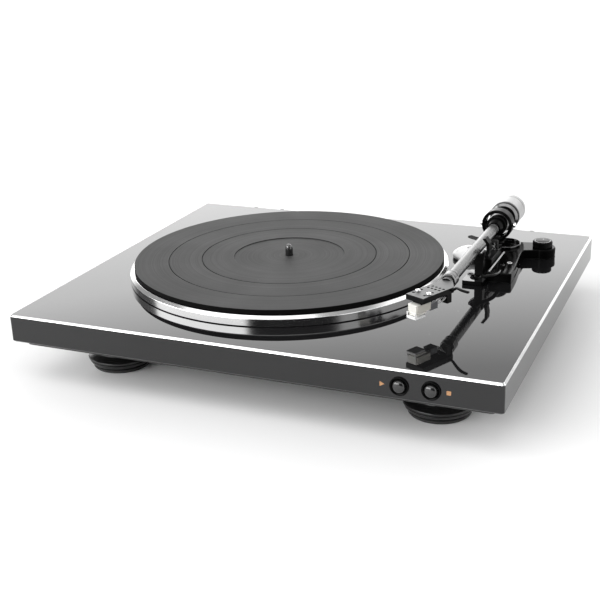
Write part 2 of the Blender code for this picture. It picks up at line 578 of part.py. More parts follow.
def makeHeadshell(finishes):
    px, py = PIVOT_XY
    pitch = (px, py, ARM_Z)
    half = SHELL_WIDTH / 2
    outline = [shellPoint(-half, 0)[:2], shellPoint(half, 0)[:2], shellPoint(half, SHELL_LENGTH)[:2],
               (px + 4.4, -69.0), (px - 4.4, -69.0), shellPoint(-half, SHELL_LENGTH - 4)[:2]]
    shell = addPiece("headshell", prism(outline, SHELL_BOTTOM, SHELL_TOP), finishes["shell_grey"], pitch)
    inside = shellBox(-half + 1.4, 1.4, half - 1.4, SHELL_LENGTH - 5, SHELL_BOTTOM - 3, SHELL_TOP - 1.6)
    combine(shell, addPiece("headshell_hollow", inside, None, cutter=True), "DIFFERENCE")
    plug = rod(4.7, -72.0, TUBE_FRONT_Y - GAP, 20, (px, 0, ARM_Z), "Y")
    combine(shell, addPiece("headshell_plug", plug, None, cutter=True), "UNION")
    socket = shellBox(0.5, 31.0, 7.5, 36.2, SHELL_BOTTOM - SOCKET_DROP, SHELL_BOTTOM + 2.0)
    combine(shell, addPiece("headshell_socket", socket, None, cutter=True), "UNION")
    for index, across in enumerate((-5.8, 5.8)):
        centre = shellPoint(across, 10.5)
        hole = rod(1.6, SHELL_BOTTOM, SHELL_TOP + 3, 12, centre)
        combine(shell, addPiece(f"headshell_hole_{index}", hole, None, cutter=True), "DIFFERENCE")
        side = ("left", "right")[index]
        top = SHELL_TOP + GAP
        screw = [(0, SHELL_TOP - 1.5), (1.2, SHELL_TOP - 1.5), (1.2, top), (2.3, top), (2.3, top + 1.0),
                 (1.7, top + 1.5), (0, top + 1.5)]
        addPiece(f"cartridge_screw_{side}", turned(screw, 16, centre), finishes["chrome"], centre)

    body = addPiece("cartridge", shellBox(-5.2, -2.4, 5.2, 14.5, GUARD_BOTTOM + 4.0, SHELL_BOTTOM - GAP),
                    finishes["ivory"], pitch)
    mount = shellBox(-6.0, 2.2, 6.0, 16.0, SHELL_BOTTOM - 2.0, SHELL_TOP - 1.6 - GAP)
    combine(body, addPiece("cartridge_mount", mount, None, cutter=True), "UNION")
    addPiece("terminal_block", shellBox(-4.0, 14.9, 4.0, 24.0, GUARD_BOTTOM + 2.4, GUARD_BOTTOM + 8.0),
             finishes["grey_plastic"], pitch)
    slab = shellBox(-4.4, -2.0, 4.4, 10.0, GUARD_BOTTOM + 2.3, GUARD_BOTTOM + 3.7)
    holder = addPiece("stylus_holder", slab, finishes["ivory"], pitch)
    needle = shellBox(-0.5, 1.0, 0.5, 2.0, GUARD_BOTTOM + 1.7, GUARD_BOTTOM + 3.0)
    combine(holder, addPiece("stylus_needle", needle, None, cutter=True), "UNION")

    hinge = shellPoint(0, -3.5, GUARD_BOTTOM + 4.5)
    guard = addPiece("stylus_guard", shellBox(-5.0, -4.2, 5.0, 8.0, GUARD_BOTTOM, GUARD_BOTTOM + 1.2),
                     finishes["white"], hinge)
    for index, across in enumerate((-4.8, 3.8)):
        ear = shellBox(across, -4.0, across + 1.0, -2.9, GUARD_BOTTOM + 0.4, GUARD_BOTTOM + 5.2)
        combine(guard, addPiece(f"stylus_guard_ear_{index}", ear, None, cutter=True), "UNION")

    route = []
    for across, back, rise in ((1.0, 33.6, -1.8), (3.0, 34.0, -0.4), (6.5, 33.2, 1.6), (14.5, 29.8, 2.6),
                               (21.0, 29.0, 2.9)):
        route.append(shellPoint(half + across, back, SHELL_TOP + rise))
    addPiece("finger_lift", sweptRod(route, 1.1), finishes["black_plastic"], pitch)


def makeControls(finishes):
    x, y = KNOB_XY
    knob = [(0, BASE_TOP + GAP), (KNOB_RADIUS, BASE_TOP + GAP), (KNOB_RADIUS, BASE_TOP + 5.2),
            (KNOB_RADIUS - 0.7, BASE_TOP + 6.0), (0, BASE_TOP + 6.0)]
    addPiece("anti_skate_knob", turned(knob, ROUND, (x, y, 0)), finishes["black_gloss"], (x, y, 0))

    px, py = PIVOT_XY
    rod_x, rod_y = LIFT_ROD_XY
    bar_top = ARM_Z - TUBE_RADIUS - 0.6
    bar_low = bar_top - 2.2
    start = math.degrees(math.atan2(rod_y - 2 - py, rod_x - px))
    radius = math.hypot(rod_x - px, rod_y - py)
    inner = arc(PIVOT_XY, radius - 2.4, start + 4, BAR_END_ANGLE, 10)
    outer = arc(PIVOT_XY, radius + 2.4, BAR_END_ANGLE, start + 4, 10)
    bar = addPiece("lift_bar", prism(inner + outer, bar_low, bar_top), finishes["rubber"],
                   (rod_x, rod_y, bar_low))
    stem = rod(2.0, DECK_Z + 10.0, bar_low + 1, 16, (rod_x, rod_y, 0))
    combine(bar, addPiece("lift_bar_stem", stem, None, cutter=True), "UNION")

    pin = (0, LEVER_Y, LEVER_Z)
    low = LEVER_X
    boss = rod(4.0, low, low + 3.6, 20, pin, "X")
    lever = addPiece("lift_lever", boss, finishes["black_gloss"], (low, LEVER_Y, LEVER_Z))
    tip = (low - 10.4, LEVER_Y - 48.0)
    route = [(low + 1.8, LEVER_Y - 2, LEVER_Z + 0.5), (low + 3.4, LEVER_Y - 20.0, LEVER_Z + 2.4),
             (low + 1.6, LEVER_Y - 33.0, LEVER_Z + 4.4), (low - 4.4, LEVER_Y - 42.0, LEVER_Z + 6.0),
             (*tip, LEVER_Z + 6.6)]
    pad = rod(5.0, LEVER_Z + 5.4, LEVER_Z + 7.8, 24, (*tip, 0))
    combine(lever, addPiece("lift_lever_pad", pad, None, cutter=True), "UNION")
    combine(lever, addPiece("lift_lever_arm", sweptRod(route, 1.9), None, cutter=True), "UNION")

    ax, az = CLIP_AXIS
    middle = [(ax, az), (ax + 1.2, az + 6.0), (ax + 0.9, az + 12.0), (ax - 2.6, az + 16.5)]
    left = [(x - 1.6, z) for x, z in middle]
    right = [(x + 1.0, z + 0.6) for x, z in reversed(middle)]
    hook = prism(left + right, REST_Y - CLIP_HALF, REST_Y + CLIP_HALF, "Y")
    clip = addPiece("arm_clip", hook, finishes["black_plastic"], (ax, REST_Y, az))
    boss = rod(1.9, REST_Y - CLIP_HALF, REST_Y + CLIP_HALF, 16, (ax, 0, az), "Y")
    combine(clip, addPiece("arm_clip_boss", boss, None, cutter=True), "UNION")

    z = DECK_Z + GAP
    dome = [(0, z), (ADAPTER_RADIUS - 1.5, z), (ADAPTER_RADIUS, z + 1.2), (ADAPTER_RADIUS, z + 4.0),
            (14.6, z + 6.4),
            (11.2, z + 8.4), (6.0, z + 9.4), (0, z + 9.7)]
    centre = (*ADAPTER_XY, 0)
    addPiece("adapter_45", turned(dome, ROUND, centre), finishes["white"], centre)


def main():
    clearScene()
    finishes = {
        "black_gloss": finish("black_gloss", (0.012, 0.012, 0.013), 0.12),
        "black_plastic": finish("black_plastic", (0.02, 0.02, 0.02), 0.45),
        "rubber": finish("rubber", (0.03, 0.03, 0.032), 0.7),
        "aluminium": finish("aluminium", (0.85, 0.85, 0.86), 0.15, 1.0),
        "steel": finish("steel", (0.6, 0.6, 0.62), 0.3, 1.0),
        "chrome": finish("chrome", (0.85, 0.85, 0.87), 0.08, 1.0),
        "satin": finish("satin_silver", (0.65, 0.65, 0.67), 0.3, 1.0),
        "brass": finish("brass", (0.75, 0.55, 0.25), 0.25, 1.0),
        "nylon": finish("nylon", (0.75, 0.74, 0.7), 0.45),
        "board": finish("board", (0.05, 0.22, 0.1), 0.4),
        "grey_gloss": finish("grey_gloss", (0.2, 0.2, 0.21), 0.15, 0.6),
        "grey_plastic": finish("grey_plastic", (0.3, 0.3, 0.31), 0.4),
        "shell_grey": finish("shell_grey", (0.33, 0.33, 0.34), 0.35, 0.5),
        "weight_grey": finish("weight_grey", (0.7, 0.7, 0.7), 0.35, 0.3),
        "ivory": finish("ivory", (0.8, 0.78, 0.72), 0.3),
        "white": finish("white", (0.85, 0.85, 0.85), 0.3),
    }
    makePlinth(finishes)
    makeFeet(finishes)
    makeDrive(finishes)
    makeButtons(finishes)
    makeInsidesAndRear(finishes)
    makeArmBase(finishes)
    makeArm(finishes)
    makeHeadshell(finishes)
    makeControls(finishes)


main()
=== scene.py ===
import json
import math

import bmesh
import bpy
import numpy as np
from mathutils import Matrix, Vector


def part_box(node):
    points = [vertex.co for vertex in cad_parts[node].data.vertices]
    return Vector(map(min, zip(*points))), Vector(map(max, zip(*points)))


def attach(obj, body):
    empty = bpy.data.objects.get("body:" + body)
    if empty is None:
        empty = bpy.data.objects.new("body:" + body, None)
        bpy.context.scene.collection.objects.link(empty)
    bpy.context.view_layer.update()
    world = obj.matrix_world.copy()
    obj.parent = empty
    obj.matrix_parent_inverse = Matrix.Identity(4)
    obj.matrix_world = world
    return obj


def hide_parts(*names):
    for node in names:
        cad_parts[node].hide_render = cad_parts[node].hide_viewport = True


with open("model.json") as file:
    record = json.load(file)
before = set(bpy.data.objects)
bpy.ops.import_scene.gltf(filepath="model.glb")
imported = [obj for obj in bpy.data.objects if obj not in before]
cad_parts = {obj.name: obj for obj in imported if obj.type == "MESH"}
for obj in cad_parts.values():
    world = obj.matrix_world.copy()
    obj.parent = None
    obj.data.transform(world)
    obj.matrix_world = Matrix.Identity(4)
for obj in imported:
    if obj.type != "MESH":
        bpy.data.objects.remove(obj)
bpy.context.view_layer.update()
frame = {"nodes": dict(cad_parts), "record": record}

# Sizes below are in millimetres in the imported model's frame; mm turns them into metres.
mm = 0.001
scene = bpy.context.scene
nodeSlots = {entry["node"]: entry["material_slot"] for entry in frame["record"]["subparts"]}
weldDistance = 2e-6


def extent(node):
    # Lowest and highest corner of a CAD node in millimetres.
    low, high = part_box(node)
    return np.array(low) / mm, np.array(high) / mm


def middle(node):
    low, high = extent(node)
    return (low + high) / 2


def addPiece(name, parts, material, body, nodes=(), slot=None, sharp=32.0, weighted=True):
    # Joins (vertices, faces) parts into one mesh, welds its seams and turns its faces outward.
    vertices, faces = [], []
    start = 0
    for points, polygons in parts:
        vertices.append(np.asarray(points, float) * mm)
        faces += [[start + int(i) for i in polygon] for polygon in polygons]
        start += len(points)
    data = bpy.data.meshes.new(name)
    data.from_pydata(np.concatenate(vertices).tolist(), [], faces)
    obj = bpy.data.objects.new(name, data)
    scene.collection.objects.link(obj)
    return finishPiece(obj, material, body, nodes, slot, sharp, weighted)


def finishPiece(obj, material, body, nodes=(), slot=None, sharp=32.0, weighted=True):
    # Welds doubles, recalculates normals, marks sharp edges and ties the piece to its CAD body.
    mesh = bmesh.new()
    mesh.from_mesh(obj.data)
    bmesh.ops.remove_doubles(mesh, verts=mesh.verts, dist=weldDistance)
    bmesh.ops.recalc_face_normals(mesh, faces=mesh.faces)
    mesh.to_mesh(obj.data)
    mesh.free()
    obj.data.shade_smooth()
    obj.data.set_sharp_from_angle(angle=math.radians(sharp))
    if material is not None:
        obj.data.materials.append(material)
    if weighted:
        modifier = obj.modifiers.new("WeightedNormal", "WEIGHTED_NORMAL")
        modifier.keep_sharp = True
    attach(obj, body)
    if nodes:
        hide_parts(*nodes)
        slot = slot or nodeSlots.get(nodes[0])
    return obj


def faceValues(obj, name):
    values = np.zeros(len(obj.data.polygons) * 3)
    obj.data.polygons.foreach_get(name, values)
    return values.reshape(-1, 3)


def paintSideShade(obj, material, level):
    # Faces whose normal rises less than the level take a second material; every use makes it a darker copy,
    # painted shade on sides and undersides.
    obj.data.materials.append(material)
    chosen = faceValues(obj, "normal")[:, 2] < level
    obj.data.polygons.foreach_set("material_index", chosen.astype(np.int32))


def roundEdges(obj, width, segments, angle):
    # Edges sharper than the angle get a round of the given width in millimetres.
    bevel = obj.modifiers.new("Bevel", "BEVEL")
    bevel.width = width * mm
    bevel.segments = segments
    bevel.limit_method = "ANGLE"
    bevel.angle_limit = math.radians(angle)


def refined(name, node, material, body, width, segments=3, angle=30.0):
    # A welded copy of a CAD node with rounded edges.
    data = frame["nodes"][node].data.copy()
    data.name = name
    data.materials.clear()
    obj = bpy.data.objects.new(name, data)
    scene.collection.objects.link(obj)
    mesh = bmesh.new()
    mesh.from_mesh(data)
    bmesh.ops.remove_doubles(mesh, verts=mesh.verts, dist=weldDistance)
    bmesh.ops.dissolve_limit(mesh, angle_limit=math.radians(0.5), verts=mesh.verts, edges=mesh.edges)
    mesh.to_mesh(data)
    mesh.free()
    roundEdges(obj, width, segments, angle)
    return finishPiece(obj, material, body, (node,), None, angle)


def softProfile(corners, steps=5, closed=False):
    # Each corner (a, b, round) becomes a curve: (1-t)^2 start + 2t(1-t) corner + t^2 end.
    points = np.array([corner[:2] for corner in corners], float)
    rounds = [corner[2] if len(corner) > 2 else 0.0 for corner in corners]
    made = []
    last = len(points) - 1
    for i, point in enumerate(points):
        if rounds[i] == 0.0 or (not closed and i in (0, last)):
            made.append(point)
            continue
        before, after = points[i - 1] - point, points[(i + 1) % len(points)] - point
        start = point + before * min(0.48, rounds[i] / np.linalg.norm(before))
        end = point + after * min(0.48, rounds[i] / np.linalg.norm(after))
        for t in np.linspace(0.0, 1.0, steps + 1):
            made.append((1 - t) ** 2 * start + 2 * t * (1 - t) * point + t * t * end)
    return np.array(made)


def gridFaces(rows, columns, wrapRows=False, wrapColumns=True):
    # Four-sided faces between neighbouring points of a grid.
    r = np.arange(rows if wrapRows else rows - 1)
    c = np.arange(columns if wrapColumns else columns - 1)
    r, c = np.meshgrid(r, c, indexing="ij")
    nextR, nextC = (r + 1) % rows, (c + 1) % columns
    corners = (r * columns + c, r * columns + nextC, nextR * columns + nextC, nextR * columns + c)
    return np.stack([corner.ravel() for corner in corners], axis=1).tolist()


def turned(profile, centre, axis="Z", steps=96, closed=False, bend=None):
    # Points (radius cos a, radius sin a, height); bend changes radius and height with the angle.
    profile = np.asarray(profile, float)
    angle = np.linspace(0.0, 2 * math.pi, steps, endpoint=False)[None, :]
    radius = np.repeat(profile[:, :1], steps, axis=1)
    height = np.repeat(profile[:, 1:2], steps, axis=1)
    if bend is not None:
        radius, height = bend(radius, height, angle)
    across, up = radius * np.cos(angle), radius * np.sin(angle)
    order = {"Z": (across, up, height), "Y": (across, height, up), "X": (height, across, up)}[axis]
    points = np.stack(order, axis=2).reshape(-1, 3) + np.asarray(centre, float)
    return points, gridFaces(len(profile), steps, wrapRows=closed)


def densified(profile, count):
    # The same profile resampled evenly by point number.
    number = np.arange(len(profile))
    at = np.linspace(0, len(profile) - 1, count)
    return np.stack([np.interp(at, number, profile[:, 0]), np.interp(at, number, profile[:, 1])], axis=1)


def turnedPiece(name, corners, centre, material, body, nodes=(), axis="Z", steps=96, fine=5,
                closed=False, bend=None):
    # A softened profile turned about an axis and added as one piece.
    part = turned(softProfile(corners, fine, closed), centre, axis, steps, closed, bend)
    return addPiece(name, [part], material, body, nodes)


def loft(rings):
    # Closed surface through rings of equal point counts, with a flat face at each end.
    rings = np.asarray(rings, float)
    rows, columns = rings.shape[:2]
    faces = gridFaces(rows, columns)
    faces.append(list(range(columns)))
    faces.append(list(range((rows - 1) * columns, rows * columns)))
    return rings.reshape(-1, 3), faces


def insetOutline(outline, inset):
    # Each point moves inward along the sum of its two edge normals, scaled to keep the distance.
    outline = np.asarray(outline, float)
    forward = np.roll(outline, -1, axis=0) - outline
    forward /= np.linalg.norm(forward, axis=1)[:, None]
    normal = np.stack([-forward[:, 1], forward[:, 0]], axis=1)
    joined = normal + np.roll(normal, 1, axis=0)
    share = 2.0 / np.maximum((joined ** 2).sum(axis=1), 0.6)
    return outline + joined * (share * inset)[:, None]


def prism(outline, low, high, roundLow=0.0, roundHigh=0.0, axis="Z", steps=4):
    # An outline carried along an axis: a quarter circle rounds the high edge, and above the low
    # edge, which keeps the full outline, the wall draws in evenly by roundLow.
    quarter = np.linspace(0.0, math.pi / 2, steps + 1)
    levels = [(low, 0.0)]
    if roundLow:
        drawn = roundLow * (1 - np.sin(quarter))[::-1]
        levels = [(low + inset, inset) for inset in drawn]
    for t in quarter if roundHigh else [0.0]:
        levels.append((high - roundHigh * (1 - math.sin(t)), roundHigh * (1 - math.cos(t))))
    rings = []
    for height, inset in levels:
        ring = insetOutline(outline, inset)
        column = np.full(len(ring), height)
        order = {"Z": (ring[:, 0], ring[:, 1], column), "Y": (ring[:, 0], column, ring[:, 1]),
                 "X": (column, ring[:, 0], ring[:, 1])}[axis]
        rings.append(np.stack(order, axis=1))
    return loft(rings)


def arc(centre, radius, start, end, steps):
    # Points centre + radius (cos a, sin a) between two angles in degrees.
    angle = np.radians(np.linspace(start, end, steps + 1))
    return np.stack([centre[0] + radius * np.cos(angle), centre[1] + radius * np.sin(angle)], axis=1)


def roundedBox(x0, y0, x1, y1, radius, steps=5):
    corners = ((x1 - radius, y0 + radius, -90), (x1 - radius, y1 - radius, 0),
               (x0 + radius, y1 - radius, 90), (x0 + radius, y0 + radius, 180))
    return np.concatenate([arc((x, y), radius, start, start + 90, steps) for x, y, start in corners])


def smoothPath(points, count):
    # Catmull-Rom curve through the points, sampled evenly in its parameter.
    points = np.asarray(points, float)
    padded = np.concatenate([points[:1] * 2 - points[1:2], points, points[-1:] * 2 - points[-2:-1]])
    s = np.linspace(0, len(points) - 1, count)
    k = np.minimum(s.astype(int), len(points) - 2)
    t = (s - k)[:, None]
    a, b, c, d = padded[k], padded[k + 1], padded[k + 2], padded[k + 3]
    square, cube = 2 * a - 5 * b + 4 * c - d, 3 * b - a - 3 * c + d
    return 0.5 * (2 * b + (c - a) * t + square * t ** 2 + cube * t ** 3)


def tube(points, widths, heights=None, count=48, steps=20):
    # Oval rings along a smooth path; both ends are drawn in to a round tip.
    path = smoothPath(points, count)
    position = np.linspace(0, len(points) - 1, count)
    widths = np.interp(position, np.arange(len(widths)), widths)
    heights = widths if heights is None else np.interp(position, np.arange(len(heights)), heights)
    forward = np.gradient(path, axis=0)
    forward /= np.linalg.norm(forward, axis=1)[:, None]
    side = np.cross(forward, [0.0, 0.0, 1.0])
    side /= np.linalg.norm(side, axis=1)[:, None]
    rise = np.cross(side, forward)
    angle = np.linspace(0, 2 * math.pi, steps, endpoint=False)[None, :, None]
    rings = []
    tips = np.linspace(0.0, math.pi / 2, 5)
    for t in tips[:-1]:
        rings.append((0, math.sin(t) + 1e-3, -math.cos(t)))
    for i in range(count):
        rings.append((i, 1.0, 0.0))
    for t in tips[::-1][1:]:
        rings.append((count - 1, math.sin(t) + 1e-3, math.cos(t)))
    index = np.array([ring[0] for ring in rings])
    share = np.array([ring[1] for ring in rings])[:, None, None]
    shift = np.array([ring[2] for ring in rings])[:, None, None]
    wide, tall = widths[index][:, None, None] * share, heights[index][:, None, None] * share
    centre = path[index][:, None, :] + forward[index][:, None, :] * shift * heights[index][:, None, None]
    across = side[index][:, None, :] * wide * np.cos(angle)
    up = rise[index][:, None, :] * tall * np.sin(angle)
    return loft(centre + across + up)


def carve(obj, cutters):
    # Cuts closed parts out of a piece and keeps the result as its mesh.
    for points, faces in cutters:
        data = bpy.data.meshes.new("cutter")
        data.from_pydata((np.asarray(points) * mm).tolist(), [], faces)
        cutter = bpy.data.objects.new("cutter", data)
        scene.collection.objects.link(cutter)
        mesh = bmesh.new()
        mesh.from_mesh(data)
        bmesh.ops.remove_doubles(mesh, verts=mesh.verts, dist=weldDistance)
        bmesh.ops.recalc_face_normals(mesh, faces=mesh.faces)
        mesh.to_mesh(data)
        mesh.free()
        modifier = obj.modifiers.new("Cut", "BOOLEAN")
        modifier.operation = "DIFFERENCE"
        modifier.object = cutter
        modifier.solver = "EXACT"
        bpy.context.view_layer.update()
        cut = bpy.data.meshes.new_from_object(obj.evaluated_get(bpy.context.evaluated_depsgraph_get()))
        obj.modifiers.remove(modifier)
        obj.data = cut
        bpy.data.objects.remove(cutter, do_unlink=True)
    return obj


def newGroup(name, inputs, outputs):
    tree = bpy.data.node_groups.new(name, "ShaderNodeTree")
    for socketName, kind, value in inputs:
        socket = tree.interface.new_socket(socketName, in_out="INPUT", socket_type=kind)
        if value is not None:
            socket.default_value = value
    for socketName, kind in outputs:
        tree.interface.new_socket(socketName, in_out="OUTPUT", socket_type=kind)
    return tree, tree.nodes.new("NodeGroupInput"), tree.nodes.new("NodeGroupOutput")


def node(tree, kind, values=None, **settings):
    # A node with its properties set and its sockets either linked or given a value.
    made = tree.nodes.new(kind)
    for key, value in settings.items():
        setattr(made, key, value)
    for key, value in (values or {}).items():
        if isinstance(value, bpy.types.NodeSocket):
            tree.links.new(value, made.inputs[key])
        else:
            made.inputs[key].default_value = value
    return made


def maths(tree, operation, a, b=0.0, clamp=False):
    return node(tree, "ShaderNodeMath", {0: a, 1: b}, operation=operation, use_clamp=clamp).outputs[0]


floatKind, colourKind, vectorKind = "NodeSocketFloat", "NodeSocketColor", "NodeSocketVector"


def makeSurfaceGroup():
    # Haze: soft noise blends two colours and two roughnesses. Grain: fine noise bumps the normal.
    tree, source, sink = newGroup("surfaceDetail", [
        ("Vector", vectorKind, None), ("Colour A", colourKind, None), ("Colour B", colourKind, None),
        ("Rough A", floatKind, 0.2), ("Rough B", floatKind, 0.3), ("Haze Scale", floatKind, 20.0),
        ("Grain Scale", floatKind, 900.0), ("Grain Depth", floatKind, 0.1)],
        [("Colour", colourKind), ("Roughness", floatKind), ("Normal", vectorKind)])
    get = source.outputs
    haze = node(tree, "ShaderNodeTexNoise", {"Vector": get["Vector"], "Scale": get["Haze Scale"],
                                             "Detail": 4.0, "Roughness": 0.6}).outputs["Fac"]
    haze = node(tree, "ShaderNodeMapRange", {"Value": haze, "From Min": 0.35, "From Max": 0.65}).outputs[0]
    grain = node(tree, "ShaderNodeTexNoise", {"Vector": get["Vector"], "Scale": get["Grain Scale"],
                                              "Detail": 3.0}).outputs["Fac"]
    blend = maths(tree, "ADD", maths(tree, "MULTIPLY", haze, 0.75), maths(tree, "MULTIPLY", grain, 0.25))
    colour = node(tree, "ShaderNodeMix", {0: blend, 6: get["Colour A"], 7: get["Colour B"]},
                  data_type="RGBA")
    rough = node(tree, "ShaderNodeMapRange", {"Value": blend, "To Min": get["Rough A"],
                                              "To Max": get["Rough B"]})
    bump = node(tree, "ShaderNodeBump", {"Strength": get["Grain Depth"], "Distance": 0.0002,
                                         "Height": grain})
    tree.links.new(colour.outputs[2], sink.inputs["Colour"])
    tree.links.new(rough.outputs[0], sink.inputs["Roughness"])
    tree.links.new(bump.outputs[0], sink.inputs["Normal"])
    return tree


def makeRingGroup():
    # Turning marks: noise read along the distance from an axis, so it is even round the axis.
    tree, source, sink = newGroup("turningMarks", [
        ("Vector", vectorKind, None), ("Pitch", floatKind, 2500.0), ("Depth", floatKind, 0.1),
        ("Normal", vectorKind, None)], [("Mask", floatKind), ("Normal", vectorKind)])
    get = source.outputs
    parts = node(tree, "ShaderNodeSeparateXYZ", {0: get["Vector"]}).outputs
    flat = node(tree, "ShaderNodeCombineXYZ", {0: parts[0], 1: parts[1]}).outputs[0]
    distance = node(tree, "ShaderNodeVectorMath", {0: flat}, operation="LENGTH").outputs["Value"]
    line = node(tree, "ShaderNodeCombineXYZ", {0: distance, 1: parts[2]}).outputs[0]
    marks = node(tree, "ShaderNodeTexNoise", {"Vector": line, "Scale": get["Pitch"], "Detail": 2.0},
                 noise_dimensions="2D").outputs["Fac"]
    bump = node(tree, "ShaderNodeBump", {"Strength": get["Depth"], "Distance": 0.0001, "Height": marks,
                                         "Normal": get["Normal"]})
    tree.links.new(marks, sink.inputs["Mask"])
    tree.links.new(bump.outputs[0], sink.inputs["Normal"])
    return tree


def makeDustGroup():
    # Dust: sparse small cells, kept where the surface faces up.
    tree, source, sink = newGroup("dustSpecks", [
        ("Vector", vectorKind, None), ("Scale", floatKind, 260.0), ("Amount", floatKind, 0.05)],
        [("Mask", floatKind)])
    get = source.outputs
    cells = node(tree, "ShaderNodeTexVoronoi", {"Vector": get["Vector"], "Scale": get["Scale"]}).outputs
    dot = node(tree, "ShaderNodeMapRange", {"Value": cells["Distance"], "From Min": 0.03, "From Max": 0.09,
                                            "To Min": 1.0, "To Max": 0.0}).outputs[0]
    chance = node(tree, "ShaderNodeSeparateColor", {0: cells["Color"]}).outputs[0]
    chosen = maths(tree, "LESS_THAN", chance, get["Amount"])
    facing = node(tree, "ShaderNodeNewGeometry").outputs["Normal"]
    upward = node(tree, "ShaderNodeSeparateXYZ", {0: facing}).outputs[2]
    upward = node(tree, "ShaderNodeMapRange", {"Value": upward, "From Min": 0.5, "From Max": 0.9}).outputs[0]
    mask = maths(tree, "MULTIPLY", maths(tree, "MULTIPLY", dot, chosen), upward)
    tree.links.new(mask, sink.inputs["Mask"])
    return tree


surfaceGroup, ringGroup, dustGroup = makeSurfaceGroup(), makeRingGroup(), makeDustGroup()
dustColour, dustRough = (0.35, 0.34, 0.33, 1), 0.6


def makeMaterial(name, colours, rough, metallic=0.0, haze=18.0, grain=900.0, depth=0.05, ior=1.5,
                 ring=None, dust=0.0, specular=0.5):
    # Principled shader fed by the shared groups; ring is (axis point, pitch, depth, axis name).
    material = bpy.data.materials.new(name)
    material.use_nodes = True
    tree = material.node_tree
    shader = tree.nodes["Principled BSDF"]
    vector = node(tree, "ShaderNodeTexCoord").outputs["Object"]
    detail = node(tree, "ShaderNodeGroup", node_tree=surfaceGroup)
    tree.links.new(vector, detail.inputs["Vector"])
    fixed = {"Colour A": (*colours[0], 1), "Colour B": (*colours[1], 1), "Rough A": rough[0],
             "Rough B": rough[1], "Haze Scale": haze, "Grain Scale": grain, "Grain Depth": depth}
    for key, value in fixed.items():
        detail.inputs[key].default_value = value
    colour, normal = detail.outputs["Colour"], detail.outputs["Normal"]
    roughness = detail.outputs["Roughness"]
    if ring is not None:
        centre, pitch, ringDepth, axis = ring
        turn = {"Z": (0, 0, 0), "Y": (math.pi / 2, 0, 0), "X": (0, math.pi / 2, 0)}[axis]
        place = node(tree, "ShaderNodeMapping", {"Vector": vector, "Location": [-c * mm for c in centre]})
        spin = node(tree, "ShaderNodeMapping", {"Vector": place.outputs[0], "Rotation": turn})
        marks = node(tree, "ShaderNodeGroup", node_tree=ringGroup)
        tree.links.new(spin.outputs[0], marks.inputs["Vector"])
        tree.links.new(normal, marks.inputs["Normal"])
        marks.inputs["Pitch"].default_value = pitch
        marks.inputs["Depth"].default_value = ringDepth
        normal = marks.outputs["Normal"]
        roughness = maths(tree, "MULTIPLY", roughness,
                          node(tree, "ShaderNodeMapRange", {"Value": marks.outputs["Mask"], "To Min": 0.8,
                                                            "To Max": 1.2}).outputs[0])
    if dust:
        specks = node(tree, "ShaderNodeGroup", node_tree=dustGroup)
        tree.links.new(vector, specks.inputs["Vector"])
        specks.inputs["Amount"].default_value = dust
        mixed = node(tree, "ShaderNodeMix", {0: specks.outputs[0], 6: colour, 7: dustColour},
                     data_type="RGBA")
        colour = mixed.outputs[2]
        roughness = maths(tree, "MAXIMUM", roughness, maths(tree, "MULTIPLY", specks.outputs[0], dustRough))
    tree.links.new(colour, shader.inputs["Base Color"])
    tree.links.new(roughness, shader.inputs["Roughness"])
    tree.links.new(normal, shader.inputs["Normal"])
    shader.inputs["Metallic"].default_value = metallic
    shader.inputs["IOR"].default_value = ior
    shader.inputs["Specular IOR Level"].default_value = specular
    return material


spindle = middle("spindle")
pivot = middle("arm_yoke")
tubeRadius = 5.1
armZ = extent("arm_tube")[0][2] + tubeRadius
armAxis = (pivot[0], 0.0, armZ)
deckZ = 63.0  # the deck's top, below the hinge posts that the cabinet also holds


def grey(value, tint=0.0):
    return (value, value, value * (1.0 + tint))


deckGloss = makeMaterial("deckGloss", (grey(0.006, 0.05), grey(0.009, 0.05)), (0.015, 0.035), haze=9.0,
                         grain=260.0, depth=0.004, dust=0.02)
edgeMetal = makeMaterial("edgeMetal", (grey(0.86), grey(0.92)), (0.12, 0.2), 1.0, haze=40.0, grain=1500.0,
                         depth=0.02)
casePlastic = makeMaterial("casePlastic", (grey(0.012), grey(0.02)), (0.42, 0.55), grain=1600.0, depth=0.25)
footGloss = makeMaterial("footGloss", (grey(0.010), grey(0.016)), (0.18, 0.28), haze=30.0, grain=700.0,
                         depth=0.03)
footRubber = makeMaterial("footRubber", (grey(0.015), grey(0.025)), (0.7, 0.85), grain=1200.0, depth=0.3)
platterMetal = makeMaterial("platterMetal", (grey(0.80), grey(0.88)), (0.10, 0.16), 1.0, haze=12.0,
                            grain=1200.0, depth=0.01,
                            ring=((spindle[0], spindle[1], 0), 2600.0, 0.06, "Z"))
matRubber = makeMaterial("matRubber", (grey(0.028), grey(0.032)), (0.62, 0.74), haze=14.0, grain=1500.0,
                         depth=0.18, ring=((spindle[0], spindle[1], 0), 1400.0, 0.03, "Z"), dust=0.02)
# A near-black, low-sheen copy of the mat rubber for the mat's sides: painted shade.
matSideShade = makeMaterial("matSideShade", (grey(0.002), grey(0.003)), (0.6, 0.7), haze=30.0, grain=1500.0,
                       depth=0.15, specular=0.06)
steel = makeMaterial("steel", (grey(0.55), grey(0.66)), (0.12, 0.22), 1.0, haze=60.0, grain=1400.0,
                     depth=0.03)
brass = makeMaterial("brass", ((0.74, 0.53, 0.24), (0.66, 0.45, 0.19)), (0.2, 0.32), 1.0, haze=70.0,
                     depth=0.04)
chrome = makeMaterial("chrome", (grey(0.78), grey(0.88)), (0.04, 0.10), 1.0, haze=50.0, grain=1500.0,
                      depth=0.01)
armMetal = makeMaterial("armMetal", (grey(0.14), grey(0.18)), (0.20, 0.30), 1.0, haze=35.0, grain=1200.0,
                        depth=0.008, ring=(armAxis, 1500.0, 0.01, "Y"))
